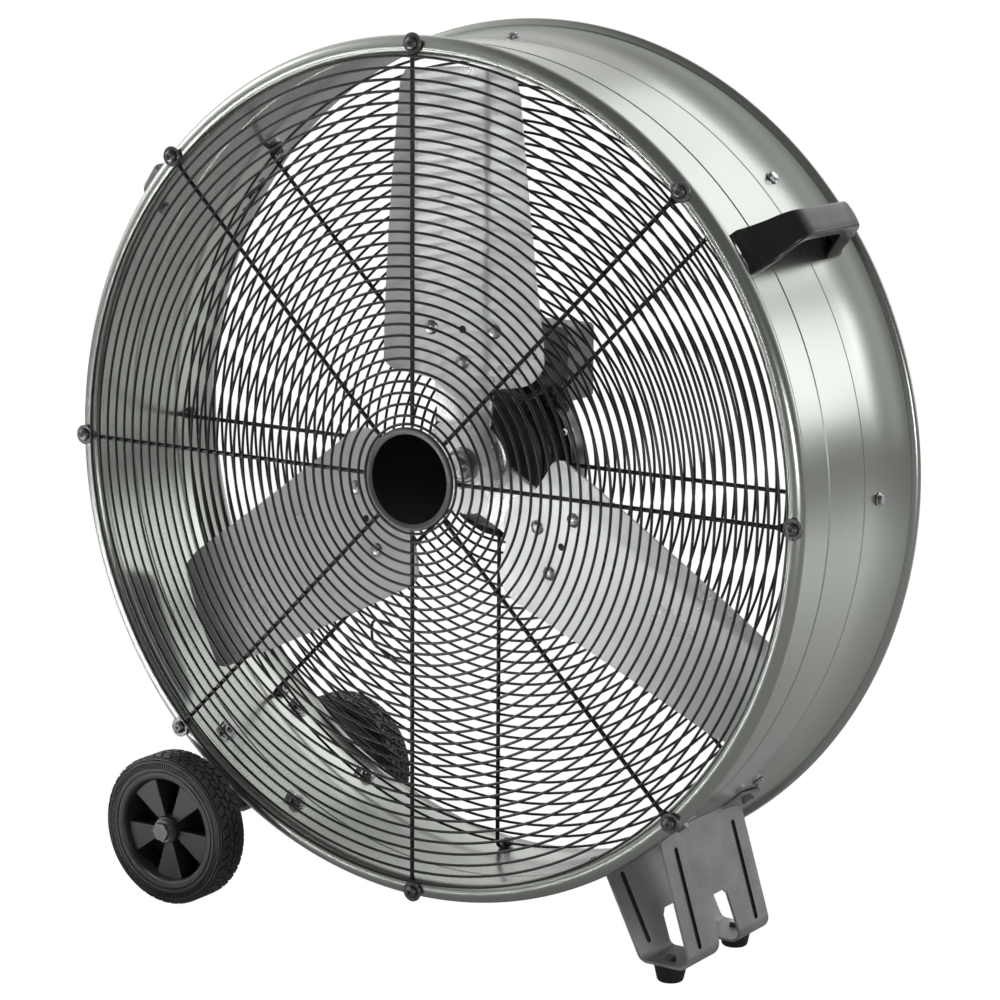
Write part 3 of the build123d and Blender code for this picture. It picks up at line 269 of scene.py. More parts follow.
rings, given, out = tree(
    "concentric rings",
    ("Outer radius", "Float"),
    ("Pitch", "Float"),
    ("Rings", "Int"),
    ("Wire", "Float"),
    ("Depth", "Float"),
    ("Height", "Float"),
    ("Sides", "Int"),
    ("Finish", "Material"),
)
line = node(rings, "GeometryNodeMeshLine", Count=given.outputs["Rings"], Offset=(0, 0, 0))
circle = node(rings, "GeometryNodeCurvePrimitiveCircle", Resolution=given.outputs["Sides"], Radius=1.0)
index = node(rings, "GeometryNodeInputIndex")
inward = sums(rings, "MULTIPLY", index.outputs["Index"], given.outputs["Pitch"])
size = sums(rings, "SUBTRACT", given.outputs["Outer radius"], inward)
copies = node(
    rings,
    "GeometryNodeInstanceOnPoints",
    Points=line.outputs["Mesh"],
    Instance=circle.outputs["Curve"],
    Scale=size,
)
wires = node(rings, "GeometryNodeRealizeInstances", Geometry=copies.outputs["Instances"])
half = sums(rings, "MULTIPLY", given.outputs["Wire"], 0.5)
section = node(rings, "GeometryNodeCurvePrimitiveCircle", Resolution=10, Radius=half).outputs["Curve"]
round_wire = node(rings, "GeometryNodeCurveToMesh", Curve=wires.outputs[0], Profile_Curve=section)
spot = node(rings, "ShaderNodeCombineXYZ", Y=given.outputs["Depth"], Z=given.outputs["Height"])
stood = node(
    rings,
    "GeometryNodeTransform",
    Geometry=round_wire.outputs["Mesh"],
    Translation=spot.outputs["Vector"],
    Rotation=(pi / 2, 0, 0),
)
finish(rings, out, stood.outputs["Geometry"], given.outputs["Finish"])

guard_black = painted("guard_black", (0.010, 0.0105, 0.0105), 0.30, spread=0.2, gloss=0.45)
ring_values = {
    "Outer radius": GUARD_R,
    "Pitch": FRONT_PITCH,
    "Rings": FRONT_RINGS,
    "Wire": WIRE_D,
    "Depth": FRONT_RING_Y,
    "Height": AXIS_H,
    "Sides": RING_SIDES,
    "Finish": guard_black,
}
front_rings = grown("front_rings", rings, ring_values)
settle(front_rings, "frame", "guard_wire", "front_guard_rings")
collar_values = {**ring_values, "Outer radius": COLLAR_R, "Rings": 1, "Sides": 96}
collar = grown("badge_collar", rings, collar_values)
settle(collar, "frame", "guard_wire")


# ---- Front guard spokes ----
# Eight spokes of thicker black wire carry the rings. Each end is pressed flat
# into a round eye that lies on the drum's bead under its screw.

SPOKES = 8
SPOKE_R = 0.0020
SPOKE_Y = -0.1052
EYE_Y = -0.1040
EYE_HALF = 0.0010
SCREW_R = 0.388


def swept(stations, sides):
    """A closed bar through stations of (middle, half-width, half-height) vectors."""
    points = []
    faces = []
    for middle, u, v in stations:
        for i in range(sides):
            turn = 2 * pi * (i + 0.5) / sides
            points.append(tuple(Vector(middle) + Vector(u) * cos(turn) + Vector(v) * sin(turn)))
    for k in range(len(stations) - 1):
        for i in range(sides):
            j = (i + 1) % sides
            faces.append((k * sides + i, k * sides + j, (k + 1) * sides + j, (k + 1) * sides + i))
    faces.append(tuple(range(sides)))
    last = (len(stations) - 1) * sides
    faces.append(tuple(range(last + sides - 1, last - 1, -1)))
    return points, faces


around, given, out = tree(
    "copies round an axis",
    ("Piece", "Object"),
    ("Copies", "Int"),
    ("First turn", "Float"),
    ("Across", "Float"),
    ("Height", "Float"),
    ("Finish", "Material"),
)
line = node(around, "GeometryNodeMeshLine", Count=given.outputs["Copies"], Offset=(0, 0, 0))
one = node(around, "GeometryNodeObjectInfo", Object=given.outputs["Piece"])
index = node(around, "GeometryNodeInputIndex")
share = sums(around, "DIVIDE", -2 * pi, given.outputs["Copies"])
turn = sums(around, "MULTIPLY", index.outputs["Index"], share)
angle = sums(around, "SUBTRACT", turn, given.outputs["First turn"])
spin = node(around, "ShaderNodeCombineXYZ", Y=angle)
copies = node(
    around,
    "GeometryNodeInstanceOnPoints",
    Points=line.outputs["Mesh"],
    Instance=one.outputs["Geometry"],
    Rotation=spin.outputs["Vector"],
)
spot = node(around, "ShaderNodeCombineXYZ", X=given.outputs["Across"], Z=given.outputs["Height"])
shifted = node(
    around,
    "GeometryNodeTransform",
    Geometry=copies.outputs["Instances"],
    Translation=spot.outputs["Vector"],
)
finish(around, out, shifted.outputs["Geometry"], given.outputs["Finish"])


def ring_of(name, shape, count, material, first=0.0, x=0.0, z=AXIS_H, sharp=35.0):
    """Copies of a shape round an axis along Y, the first at an angle from +X."""
    sample = solid(name + "_one", shape, material, sharp)
    values = {
        "Piece": sample,
        "Copies": count,
        "First turn": radians(first),
        "Across": x,
        "Height": z,
        "Finish": material,
    }
    thing = grown(name, around, values, sharp)
    bpy.data.objects.remove(sample)
    return thing


Y = Vector((0, 1, 0))
Z = Vector((0, 0, 1))
X = Vector((1, 0, 0))
spoke_line = [
    ((0.0485, SPOKE_Y, 0), Y * SPOKE_R, Z * SPOKE_R),
    ((0.3720, SPOKE_Y, 0), Y * SPOKE_R, Z * SPOKE_R),
    ((0.3750, SPOKE_Y + 0.0004, 0), Y * 0.0018, Z * 0.0029),
    ((0.3785, EYE_Y, 0), Y * EYE_HALF, Z * 0.0047),
    ((0.3815, EYE_Y, 0), Y * EYE_HALF, Z * 0.0064),
    ((0.3850, EYE_Y, 0), Y * EYE_HALF, Z * 0.0077),
    ((0.3880, EYE_Y, 0), Y * EYE_HALF, Z * 0.0080),
    ((0.3915, EYE_Y, 0), Y * EYE_HALF, Z * 0.0072),
    ((0.3940, EYE_Y, 0), Y * EYE_HALF, Z * 0.0053),
    ((0.3957, EYE_Y, 0), Y * 0.0009, Z * 0.0022),
]
front_spokes = ring_of("front_spokes", swept(spoke_line, 12), SPOKES, guard_black)
settle(front_spokes, "frame", "guard_wire", "front_guard_spokes")


# ---- Front guard screws ----
# Eight black pan-head screws, each with a broad washer, clamp the eyes of the
# spokes to the bead. Each head's six-sided driver recess is not cut: a flat
# near-black hex on its face is painted shade in its place.

WASHER_T = 0.0012
washer = [(0.0030, 0.0), (0.0095, 0.0), (0.0095, -0.0009), (0.0092, -WASHER_T), (0.0030, -WASHER_T)]
pan = [(0.0, 0.0), (0.0058, 0.0), (0.0060, -0.0004), (0.0059, -0.0016), (0.0054, -0.0026)]
pan += [(0.0044, -0.0034), (0.0032, -0.0038), (0.0024, -0.0038), (0.0, -0.0038)]
recess = lathe([(0.0, -0.00381), (0.0023, -0.00382), (0.0021, -0.0030), (0.0, -0.0030)], 6)
screw_black = painted("screw_black", (0.14, 0.14, 0.14), 0.28, metal=0.8, spread=0.12, cloud=90.0)
screw_heads = joined(lathe(washer, 28), moved(lathe(pan, 28), Matrix.Translation((0, -WASHER_T, 0))))
screw_place = Matrix.Translation((SCREW_R, EYE_Y - EYE_HALF, 0))
front_screws = ring_of("front_screws", moved(screw_heads, screw_place), SPOKES, screw_black)
settle(front_screws, "frame", "screw_black", "front_guard_screws")
# A near-black coat that paints the shade inside recesses and holes that are not cut.
painted_recess_shade = painted("painted_recess_shade", (0.006, 0.006, 0.006), 0.6, spread=0.3, cloud=200.0)
recess_place = Matrix.Translation((SCREW_R, EYE_Y - EYE_HALF - WASHER_T, 0))
recess_shades = ring_of("screw_recesses", moved(recess, recess_place), SPOKES, painted_recess_shade, sharp=20.0)
settle(recess_shades, "frame", "screw_black")


# ---- Badge ----
# A shallow moulded frame clipped to the spokes in the middle of the guard, with
# a plain glossy black disc pressed into it.

BADGE_Y = -0.1074
frame_outline = [(0.0, 0.0), (0.0464, 0.0), (0.0472, -0.0008), (0.0472, -0.0029), (0.0468, -0.0037)]
frame_outline += [(0.0459, -0.0040), (0.0448, -0.0040), (0.0432, -0.0037), (0.0419, -0.0032)]
frame_outline += [(0.0412, -0.0030), (0.0411, -0.0015), (0.0, -0.0015)]
bezel_grey = painted(
    "bezel_grey", (0.065, 0.066, 0.068), 0.36, spread=0.06, cloud=60.0, grain=2500.0, bump=0.00001
)
badge_frame = solid("badge_frame", moved(lathe(frame_outline, 96), at_axis(y=BADGE_Y)), bezel_grey)
settle(badge_frame, "frame", "bezel_plastic", "badge_bezel")
disc_outline = [(0.0, -0.0015), (0.0410, -0.0015), (0.0410, -0.0026), (0.0407, -0.0029), (0.0, -0.0030)]
badge_black = painted("badge_black", (0.0015, 0.0015, 0.0015), 0.09, spread=0.2, cloud=30.0, gloss=0.03)
badge = solid("badge", moved(lathe(disc_outline, 96), at_axis(y=BADGE_Y)), badge_black)
settle(badge, "frame", "badge_gloss", "badge_disc")


# ---- Rear guard ----
# Twenty-nine rings welded to the backs of eight spokes. Each spoke turns back
# along the drum's wall and ends in a flat eye, bolted through the wall with a
# bright hex bolt.

REAR_RINGS = 29
REAR_INNER_R = 0.083
REAR_RING_Y = 0.0392
rear_pitch = (GUARD_R - REAR_INNER_R) / (REAR_RINGS - 1)
rear_values = {**ring_values, "Pitch": rear_pitch, "Rings": REAR_RINGS, "Depth": REAR_RING_Y}
rear_rings = grown("rear_rings", rings, rear_values)
settle(rear_rings, "frame", "guard_wire", "rear_guard_rings")

REAR_Y = 0.036
EYE_R = 0.3836
bent_line = [
    ((0.0740, REAR_Y, 0), Y * SPOKE_R, Z * SPOKE_R),
    ((0.3735, REAR_Y, 0), Y * SPOKE_R, Z * SPOKE_R),
    ((0.3775, REAR_Y + 0.0006, 0), Vector((-0.0007, 0.0021, 0)), Z * 0.0022),
    ((0.3808, REAR_Y + 0.0024, 0), Vector((-0.0014, 0.0013, 0)), Z * 0.0024),
    ((0.3829, REAR_Y + 0.0055, 0), Vector((-0.0014, 0.0005, 0)), Z * 0.0030),
    ((EYE_R, 0.0455, 0), X * -0.0011, Z * 0.0048),
    ((EYE_R, 0.0490, 0), X * -0.0011, Z * 0.0061),
    ((EYE_R, 0.0530, 0), X * -0.0011, Z * 0.0065),
    ((EYE_R, 0.0565, 0), X * -0.0011, Z * 0.0056),
    ((EYE_R, 0.0585, 0), X * -0.0011, Z * 0.0038),
    ((EYE_R, 0.0594, 0), X * -0.0010, Z * 0.0012),
]
rear_spokes = ring_of("rear_spokes", swept(bent_line, 12), SPOKES, guard_black)
settle(rear_spokes, "frame", "guard_wire", "rear_guard_spokes")

hex_head = [(0.0, 0.0), (0.0044, 0.0), (0.0049, 0.0005), (0.0049, 0.0030), (0.0042, 0.0036), (0.0, 0.0036)]
flange = [(0.0, 0.0), (0.0062, 0.0), (0.0062, 0.0005), (0.0052, 0.0010), (0.0, 0.0010)]
shank = [(0.0, 0.0002), (0.0030, 0.0002), (0.0030, -0.0110), (0.0025, -0.0115), (0.0, -0.0115)]
outwards = Matrix.Rotation(-pi / 2, 4, "Z")
zinc = painted(
    "zinc", (0.55, 0.56, 0.57), 0.28, metal=1.0, spread=0.10, cloud=120.0, grain=3000.0, bump=0.00001
)
BOLT_Y = 0.053
FLANGE_REST_Y = 0.0556
hexagon = moved(lathe(hex_head, 6), Matrix.Translation((0, 0.0004, 0)))
bolt = joined(lathe(flange, 24), hexagon, lathe(shank, 16))
bolt_place = Matrix.Translation((skin(FLANGE_REST_Y), BOLT_Y, 0)) @ outwards
rear_bolts = ring_of("rear_bolts", moved(bolt, bolt_place), SPOKES, zinc, sharp=25.0)
settle(rear_bolts, "frame", "zinc", "rear_guard_bolts")


def dress(material, *nodes):
    """Gives CAD nodes whose shape is right their finish."""
    for name in nodes:
        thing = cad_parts[name]
        thing.data.materials.clear()
        thing.data.materials.append(material)


def softened(name, source, material, width, segments=2, press=None, cutter=None):
    """A CAD node's own shape with eased edges. press shifts its points first, and
    cutter sinks grooves into it, lined with the cutter's second material."""
    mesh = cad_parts[source].data.copy()
    mesh.name = name
    shape = bmesh.new()
    shape.from_mesh(mesh)
    bmesh.ops.remove_doubles(shape, verts=shape.verts, dist=1e-5)
    bmesh.ops.dissolve_limit(
        shape, angle_limit=radians(1.0), use_dissolve_boundaries=False, verts=shape.verts, edges=shape.edges
    )
    for corner in shape.verts if press else ():
        corner.co = press(corner.co)
    shape.to_mesh(mesh)
    shape.free()
    mesh.polygons.foreach_set("use_smooth", [True] * len(mesh.polygons))
    mesh.materials.clear()
    mesh.materials.append(material)
    thing = bpy.data.objects.new(name, mesh)
    bpy.context.scene.collection.objects.link(thing)
    if cutter:
        mesh.materials.append(cutter.data.materials[1])
        sunk = thing.modifiers.new("sunk", "BOOLEAN")
        sunk.operation = "DIFFERENCE"
        sunk.solver = "EXACT"
        sunk.object = cutter
    bevel = thing.modifiers.new("eased", "BEVEL")
    bevel.width = width
    bevel.segments = segments
    bevel.limit_method = "ANGLE"
    bevel.angle_limit = radians(40.0)
    bevel.use_clamp_overlap = True
    even = thing.modifiers.new("even", "WEIGHTED_NORMAL")
    even.mode = "FACE_AREA"
    even.keep_sharp = True
    bpy.context.view_layer.update()
    graph = bpy.context.evaluated_depsgraph_get()
    eased = bpy.data.meshes.new_from_object(thing.evaluated_get(graph), depsgraph=graph)
    thing.modifiers.clear()
    thing.data = eased
    return thing


dress(zinc, "motor_mount_bolts")
dark_chrome = painted("dark_chrome", (0.30, 0.30, 0.31), 0.16, metal=1.0, spread=0.10, cloud=150.0)
dress(dark_chrome, "rear_guard_nuts")


# ---- Motor ----
# A round cast motor hangs in the middle of the rear guard on a flat steel ring.
# Its domed body and closed cover are black, and the smaller front end is dark
# grey. The laminated stator and the core on the shaft run inside.

motor_black = painted(
    "motor_black", (0.014, 0.014, 0.014), 0.26,
    spread=0.25, cloud=25.0, grain=1800.0, bump=0.00003, coat=0.3,
)
bell_grey = painted(
    "bell_grey", (0.055, 0.058, 0.057), 0.34, metal=0.2,
    spread=0.12, cloud=30.0, grain=1800.0, bump=0.00003,
)
body_outline = [(0.040, 0.0240), (0.044, 0.0215), (0.052, 0.0225), (0.060, 0.0258), (0.066, 0.0305)]
body_outline += [(0.0700, 0.0365), (0.0717, 0.0430), (0.072, 0.0480), (0.072, 0.0580), (0.069, 0.0580)]
body_outline += [(0.069, 0.0500), (0.0660, 0.0380), (0.050, 0.0260)]
flange_outline = [(0.069, 0.0412), (0.0785, 0.0412), (0.079, 0.0417), (0.079, 0.0447)]
flange_outline += [(0.0785, 0.0452), (0.069, 0.0452)]
motor_shapes = joined(lathe(body_outline, 96), lathe(flange_outline, 96))
motor = solid("motor_housing", moved(motor_shapes, at_axis()), motor_black)
settle(motor, "frame", "motor_black", "motor_body")
cover_outline = [(0.0, 0.078), (0.060, 0.078), (0.068, 0.070), (0.069, 0.0580), (0.072, 0.0580)]
cover_outline += [(0.072, 0.0700), (0.0712, 0.0748), (0.0688, 0.0788), (0.0650, 0.0812), (0.0600, 0.0820)]
cover_outline += [(0.0220, 0.0820), (0.0210, 0.0812), (0.0190, 0.0812), (0.0180, 0.0820), (0.0, 0.0820)]
cover = solid("motor_cover", moved(lathe(cover_outline, 96), at_axis()), motor_black)
settle(cover, "frame", "motor_black", "motor_rear_cover")
bell_outline = [(0.0083, 0.0200), (0.0083, 0.0050), (0.0180, 0.0050), (0.0190, 0.0060), (0.0225, 0.0072)]
bell_outline += [(0.0260, 0.0062), (0.0560, 0.0060), (0.0585, 0.0067), (0.0597, 0.0082), (0.0600, 0.0105)]
bell_outline += [(0.0600, 0.0175), (0.0590, 0.0186), (0.0500, 0.0192), (0.0440, 0.0215), (0.0400, 0.0240)]
bell = solid("motor_front_end", moved(lathe(bell_outline, 96), at_axis()), bell_grey)
settle(bell, "frame", "bell_grey", "motor_front_bell")
mount = softened("motor_mount", "motor_mount_ring", guard_black, 0.0004)
settle(mount, "frame", "guard_wire", "motor_mount_ring")
bearing_steel = painted(
    "bearing_steel", (0.56, 0.57, 0.58), 0.22, metal=1.0, spread=0.08, cloud=80.0, grain=2500.0
)
core_steel = painted(
    "core_steel", (0.22, 0.22, 0.23), 0.45, metal=0.9,
    spread=0.15, cloud=60.0, grain=1500.0, bump=0.00004,
)
dress(bearing_steel, "front_bearing", "rear_bearing", "motor_shaft", "axle", "axle_sleeves")
dress(core_steel, "stator", "rotor_core")


# ---- Spider and hub nut ----
# The hub is a stamped and polished steel spider: a disc with three twisted arms
# whose pads carry the blades. A flanged nut holds it on the shaft.

spider_bright = painted(
    "spider_bright", (0.90, 0.90, 0.90), 0.28, metal=1.0, spread=0.04, cloud=35.0, grain=1500.0
)
spider = softened("blade_spider", "spider_hub", spider_bright, 0.0006)
settle(spider, "rotor", "spider_steel", "spider_hub")
NUT_Y = -0.02433
nut_outline = [(0.0085, 0.0), (0.0170, 0.0), (0.0172, -0.0010), (0.0150, -0.0022), (0.0085, -0.0022)]
nut_hex = [(0.0083, -0.0020), (0.0128, -0.0020), (0.0138, -0.0030), (0.0138, -0.0080)]
nut_hex += [(0.0122, -0.0090), (0.0083, -0.0090)]
nut_shape = joined(lathe(nut_outline, 40), lathe(nut_hex, 6))
nut = solid("shaft_nut", moved(nut_shape, at_axis(y=NUT_Y)), bearing_steel, 25.0)
settle(nut, "rotor", "bearing_steel", "hub_nut")


# ---- Blades ----
# Three blades pressed from satin aluminium sheet. The trailing strip is folded
# back along a straight line, and each root has three rivets and one open hole.

BLADE_Y = -0.0254
BLADE_T = 0.002
TILT = radians(9.0)
FOLD = -0.0465
FOLD_SLOPE = 0.119
SEAT_END = 0.044
LEAD_SLOPE = 0.045
BEND_EASE = 0.004
BLADE_ROWS = 16
BLADE_COLUMNS = 34


def three_point(a, b, c, count):
    """Points along the arc from a through b to c, without c."""
    d = 2 * (a[0] * (b[1] - c[1]) + b[0] * (c[1] - a[1]) + c[0] * (a[1] - b[1]))
    sa, sb, sc = (p[0] ** 2 + p[1] ** 2 for p in (a, b, c))
    x = (sa * (b[1] - c[1]) + sb * (c[1] - a[1]) + sc * (a[1] - b[1])) / d
    y = (sa * (c[0] - b[0]) + sb * (a[0] - c[0]) + sc * (b[0] - a[0])) / d
    middle = Vector((x, y))
    arms = [Vector(p) - middle for p in (a, b, c)]
    half = arms[0].angle_signed(arms[1])
    rest = arms[1].angle_signed(arms[2])
    turns = [-(half + rest) * i / count for i in range(count)]
    return [tuple(middle + Matrix.Rotation(t, 2) @ arms[0]) for t in turns]


def blade_edge():
    """The blade's outline as seen from the front, pointing up, in metres."""
    edge = three_point((-77.6, 96.0), (-70.2, 250.0), (-61.0, 356.0), 12)
    edge += three_point((-61.0, 356.0), (-58.8, 358.9), (-55.0, 359.8), 4)
    edge += three_point((-55.0, 359.8), (0.0, 364.0), (38.0, 362.0), 16)
    edge += three_point((38.0, 362.0), (50.2, 356.4), (55.4, 342.0), 8)
    edge += three_point((55.4, 342.0), (67.0, 225.0), (81.0, 112.0), 12)
    edge += three_point((81.0, 112.0), (75.5, 88.0), (54.0, 76.0), 12)
    edge += [(54.0, 76.0)]
    edge += three_point((37.0, 74.0), (2.0, 60.5), (-24.0, 74.0), 12)
    edge += [(-24.0, 74.0), (-30.0, 79.0)]
    edge += three_point((-59.0, 84.0), (-71.5, 87.5), (-77.6, 96.0), 6)
    return [(t / 1000, v / 1000) for t, v in edge]


def sheet_y(t):
    """Depth of the blade's middle sheet at a distance from its radius line."""
    y = t * sin(TILT) / cos(TILT)
    for past, slope in ((FOLD - t, FOLD_SLOPE), (t - SEAT_END, LEAD_SLOPE)):
        if past > -BEND_EASE:
            over = min(past + BEND_EASE, 2 * BEND_EASE)
            y -= (over**2 / (4 * BEND_EASE) + max(0.0, past - BEND_EASE)) * slope
    return BLADE_Y + y


def blade_shape():
    """The blade's two faces and its cut edge."""
    edge = blade_edge()
    low_t = min(t for t, v in edge)
    high_t = max(t for t, v in edge)
    shares = [0.5 - 0.5 * cos(pi * i / BLADE_COLUMNS) for i in range(1, BLADE_COLUMNS)]
    columns = [low_t + (high_t - low_t) * share for share in shares]
    columns += [FOLD + 0.001 * i for i in range(-5, 6)] + [SEAT_END + 0.001 * i for i in range(-4, 5)]
    columns = sorted(set(round(t, 5) for t in columns))
    spans = []
    for t in columns:
        hits = []
        for (t0, v0), (t1, v1) in zip(edge, edge[1:] + edge[:1]):
            if (t0 - t) * (t1 - t) <= 0 and t0 != t1:
                hits.append(v0 + (v1 - v0) * (t - t0) / (t1 - t0))
        spans.append((min(hits), max(hits)))
    points = []
    faces = []
    for side in (-1, 1):
        for t, (low, high) in zip(columns, spans):
            tip = (sheet_y(t + 0.0005) - sheet_y(t - 0.0005)) / 0.001
            lean = Vector((-tip, 1, 0)).normalized() * side * BLADE_T / 2
            for j in range(BLADE_ROWS + 1):
                v = low + (high - low) * j / BLADE_ROWS
                points.append((t + lean.x, sheet_y(t) + lean.y, v))
    count = len(columns)

    def at(side, i, j):
        return (side * count + i) * (BLADE_ROWS + 1) + j

    for i in range(count - 1):
        for j in range(BLADE_ROWS):
            faces.append((at(0, i, j), at(0, i + 1, j), at(0, i + 1, j + 1), at(0, i, j + 1)))
            faces.append((at(1, i, j), at(1, i, j + 1), at(1, i + 1, j + 1), at(1, i + 1, j)))
    for i in range(count - 1):
        for j in (0, BLADE_ROWS):
            faces.append((at(0, i, j), at(0, i + 1, j), at(1, i + 1, j), at(1, i, j)))
    for j in range(BLADE_ROWS):
        for i in (0, count - 1):
            faces.append((at(0, i, j), at(0, i, j + 1), at(1, i, j + 1), at(1, i, j)))
    return points, faces


blade_satin = painted(
    "blade_satin", (0.74, 0.75, 0.75), 0.30, metal=0.88,
    spread=0.03, cloud=14.0, grain=1200.0, bump=0.00001,
)
for k in range(3):
    turned = at_axis() @ Matrix.Rotation(radians(120.0 * k), 4, "Y")
    blade = solid(f"fan_blade_{k + 1}", moved(blade_shape(), turned), blade_satin, sharp=40.0)
    settle(blade, "rotor", "blade_metal", f"blade_{k + 1}")


# ---- Blade rivets ----
# Nine solid rivets with low domed heads join the blades to the spider's pads,
# and the fourth hole of each blade stays open. That hole is not cut: a thin
# black disc on the blade's face paints the shade inside it.

RIVETS = ((-0.032, 0.1262), (0.032, 0.1262), (0.0, 0.0961))
OPEN_HOLE = (0.0, 0.1262)
SPIDER_T = 0.004
dome_head = [(0.0, 0.0), (0.0070, 0.0), (0.0069, -0.0006), (0.0060, -0.0015)]
dome_head += [(0.0042, -0.0023), (0.0020, -0.0027), (0.0, -0.0028)]
tail_head = [(0.0, 0.0), (0.0070, 0.0), (0.0070, 0.0012), (0.0062, 0.0019), (0.0, 0.0020)]
square_to = Matrix.Rotation(TILT, 4, "Z")


def on_blade(t, v, lift):
    """The place of a rivet in the upright blade's sheet."""
    normal = square_to @ Vector((0, 1, 0))
    return Matrix.Translation(Vector((t * cos(TILT), BLADE_Y + t * sin(TILT), v)) + normal * lift) @ square_to


heads = []
for t, v in RIVETS:
    heads.append(moved(lathe(dome_head, 24), on_blade(t, v, -BLADE_T / 2)))
    heads.append(moved(lathe(tail_head, 24), on_blade(t, v, BLADE_T / 2 + SPIDER_T)))
rivets = ring_of("rivets", joined(*heads), 3, zinc)
settle(rivets, "rotor", "zinc", "blade_rivets")
# The open hole is a thin black disc on the blade's face: painted shade, not a cut.
hole_shade_outline = [(0.0, -0.00004), (0.0036, -0.00004), (0.0036, 0.0008), (0.0, 0.0008)]
hole_shade_disc = moved(lathe(hole_shade_outline, 20), on_blade(*OPEN_HOLE, -BLADE_T / 2))
hole_shades = ring_of("blade_holes", hole_shade_disc, 3, painted_recess_shade)
settle(hole_shades, "rotor", "blade_metal")


# ---- Control box ----
# A folded grey steel box saddled on the motor behind the guard, with a flat lid,
# a rotary switch, and a bare cable inlet in its side.

box_grey = painted(
    "box_grey", (0.26, 0.265, 0.27), 0.42, metal=0.1, spread=0.07, cloud=20.0, grain=1600.0, bump=0.00004
)
black_plastic = painted(
    "black_plastic", (0.026, 0.026, 0.027), 0.30,
    spread=0.15, cloud=40.0, grain=1500.0, bump=0.00002, coat=0.08,
)
box = softened("switch_box", "control_box", box_grey, 0.0008)
settle(box, "frame", "box_grey", "control_box")
lid = softened("switch_box_lid", "control_box_lid", box_grey, 0.0007)
settle(lid, "frame", "box_grey", "control_box_lid")
knob = softened("switch_knob", "speed_knob", black_plastic, 0.0010, segments=3)
settle(knob, "speed_switch", "black_plastic", "speed_knob")
gland = softened("inlet_gland", "cable_gland", black_plastic, 0.0004)
settle(gland, "frame", "black_plastic", "cable_gland")


# ---- Cord hook ----
# A black C-shaped hook for winding up the cord, bent from wire and fixed to the
# rear guard's rings. Its line is given by the x and z of each bend, in mm.

HOOK_Y = 42.3
HOOK_R = 0.0014
hook_line = [(-130.1, 254.6), (-139.0, 255.8), (-146.5, 256.3), (-150.4, 255.2), (-152.6, 252.3)]
hook_line += [(-153.2, 246.0), (-153.0, 238.4), (-151.4, 232.6), (-147.6, 229.2), (-139.8, 227.0)]
hook_line += [(-132.0, 223.6), (-125.5, 221.4), (-114.6, 221.8)]
spots = [Vector((x, HOOK_Y, z)) / 1000 for x, z in hook_line]
rod = []
for i, spot in enumerate(spots):
    way = (spots[min(i + 1, len(spots) - 1)] - spots[max(i - 1, 0)]).normalized()
    rod.append((spot, Y * HOOK_R, way.cross(Y).normalized() * HOOK_R))
hook = solid("flex_hook", swept(rod, 10), black_plastic)
settle(hook, "frame", "black_plastic", "cord_hook")


# ---- Motor lead ----
# A short flexible lead with a matt black rubber sheath loops from the motor's
# shoulder up into the control box, and is held where it enters each of them.

lead_rubber = painted(
    "lead_rubber", (0.016, 0.016, 0.016), 0.5, spread=0.2, cloud=80.0, grain=2500.0, bump=0.00002
)
dress(lead_rubber, "motor_lead")


# ---- Handles ----
# Two bail handles moulded in black plastic, screwed on from inside the drum.
# Broad feet lie on the wall, and the legs draw in to a flat-topped grip.

HANDLE_Y = 0.0015
HANDLE_TURN = 35.0
# Stations from the front foot to the back one: depth and radius of the outer
# face, the same of the underside, half the width, and how far the middle bows.
HANDLE_LINE = [
    ((-78.5, 389.0), (-78.5, 386.8), 17.8, 1.0),
    ((-78.5, 394.0), (-78.0, 386.6), 19.2, 2.5),
    ((-77.2, 396.2), (-75.5, 386.6), 19.5, 3.5),
    ((-76.4, 396.6), (-74.5, 386.6), 19.5, 3.8),
    ((-75.9, 395.4), (-74.0, 386.6), 19.5, 4.0),
    ((-75.1, 395.6), (-73.0, 386.6), 19.5, 4.0),
    ((-74.6, 397.0), (-72.5, 386.6), 19.5, 4.0),
    ((-70.5, 398.6), (-66.5, 386.8), 19.4, 4.0),
    ((-64.5, 402.4), (-60.5, 388.0), 18.8, 3.0),
    ((-59.5, 408.0), (-55.5, 393.5), 17.8, 2.0),
    ((-55.0, 414.6), (-50.5, 401.5), 16.6, 1.0),
    ((-52.6, 422.4), (-47.8, 409.8), 15.4, 0.5),
    ((-49.2, 428.0), (-44.5, 416.5), 14.4, 0.0),
    ((-44.6, 432.0), (-40.5, 421.5), 13.6, 0.0),
    ((-37.5, 434.0), (-36.0, 423.5), 13.0, 0.0),
    ((-28.0, 434.5), (-28.0, 424.0), 12.75, 0.0),
    ((0.0, 434.5), (0.0, 424.0), 12.75, 0.0),
    ((30.0, 434.5), (26.0, 423.5), 12.75, 0.5),
    ((46.0, 434.2), (33.5, 421.0), 12.9, 1.8),
    ((52.0, 431.8), (37.5, 416.5), 13.3, 2.8),
    ((56.0, 428.2), (41.0, 411.0), 14.2, 3.2),
    ((58.6, 422.0), (44.5, 404.5), 15.4, 3.0),
    ((61.5, 412.5), (48.0, 397.0), 17.0, 2.5),
    ((65.0, 403.0), (52.0, 390.0), 18.4, 2.0),
    ((68.8, 396.8), (57.0, 386.8), 19.3, 1.5),
    ((73.0, 394.4), (69.5, 386.6), 19.5, 1.0),
    ((75.6, 391.8), (75.0, 386.6), 19.2, 0.5),
    ((76.0, 388.6), (76.0, 386.7), 17.8, 0.0),
]
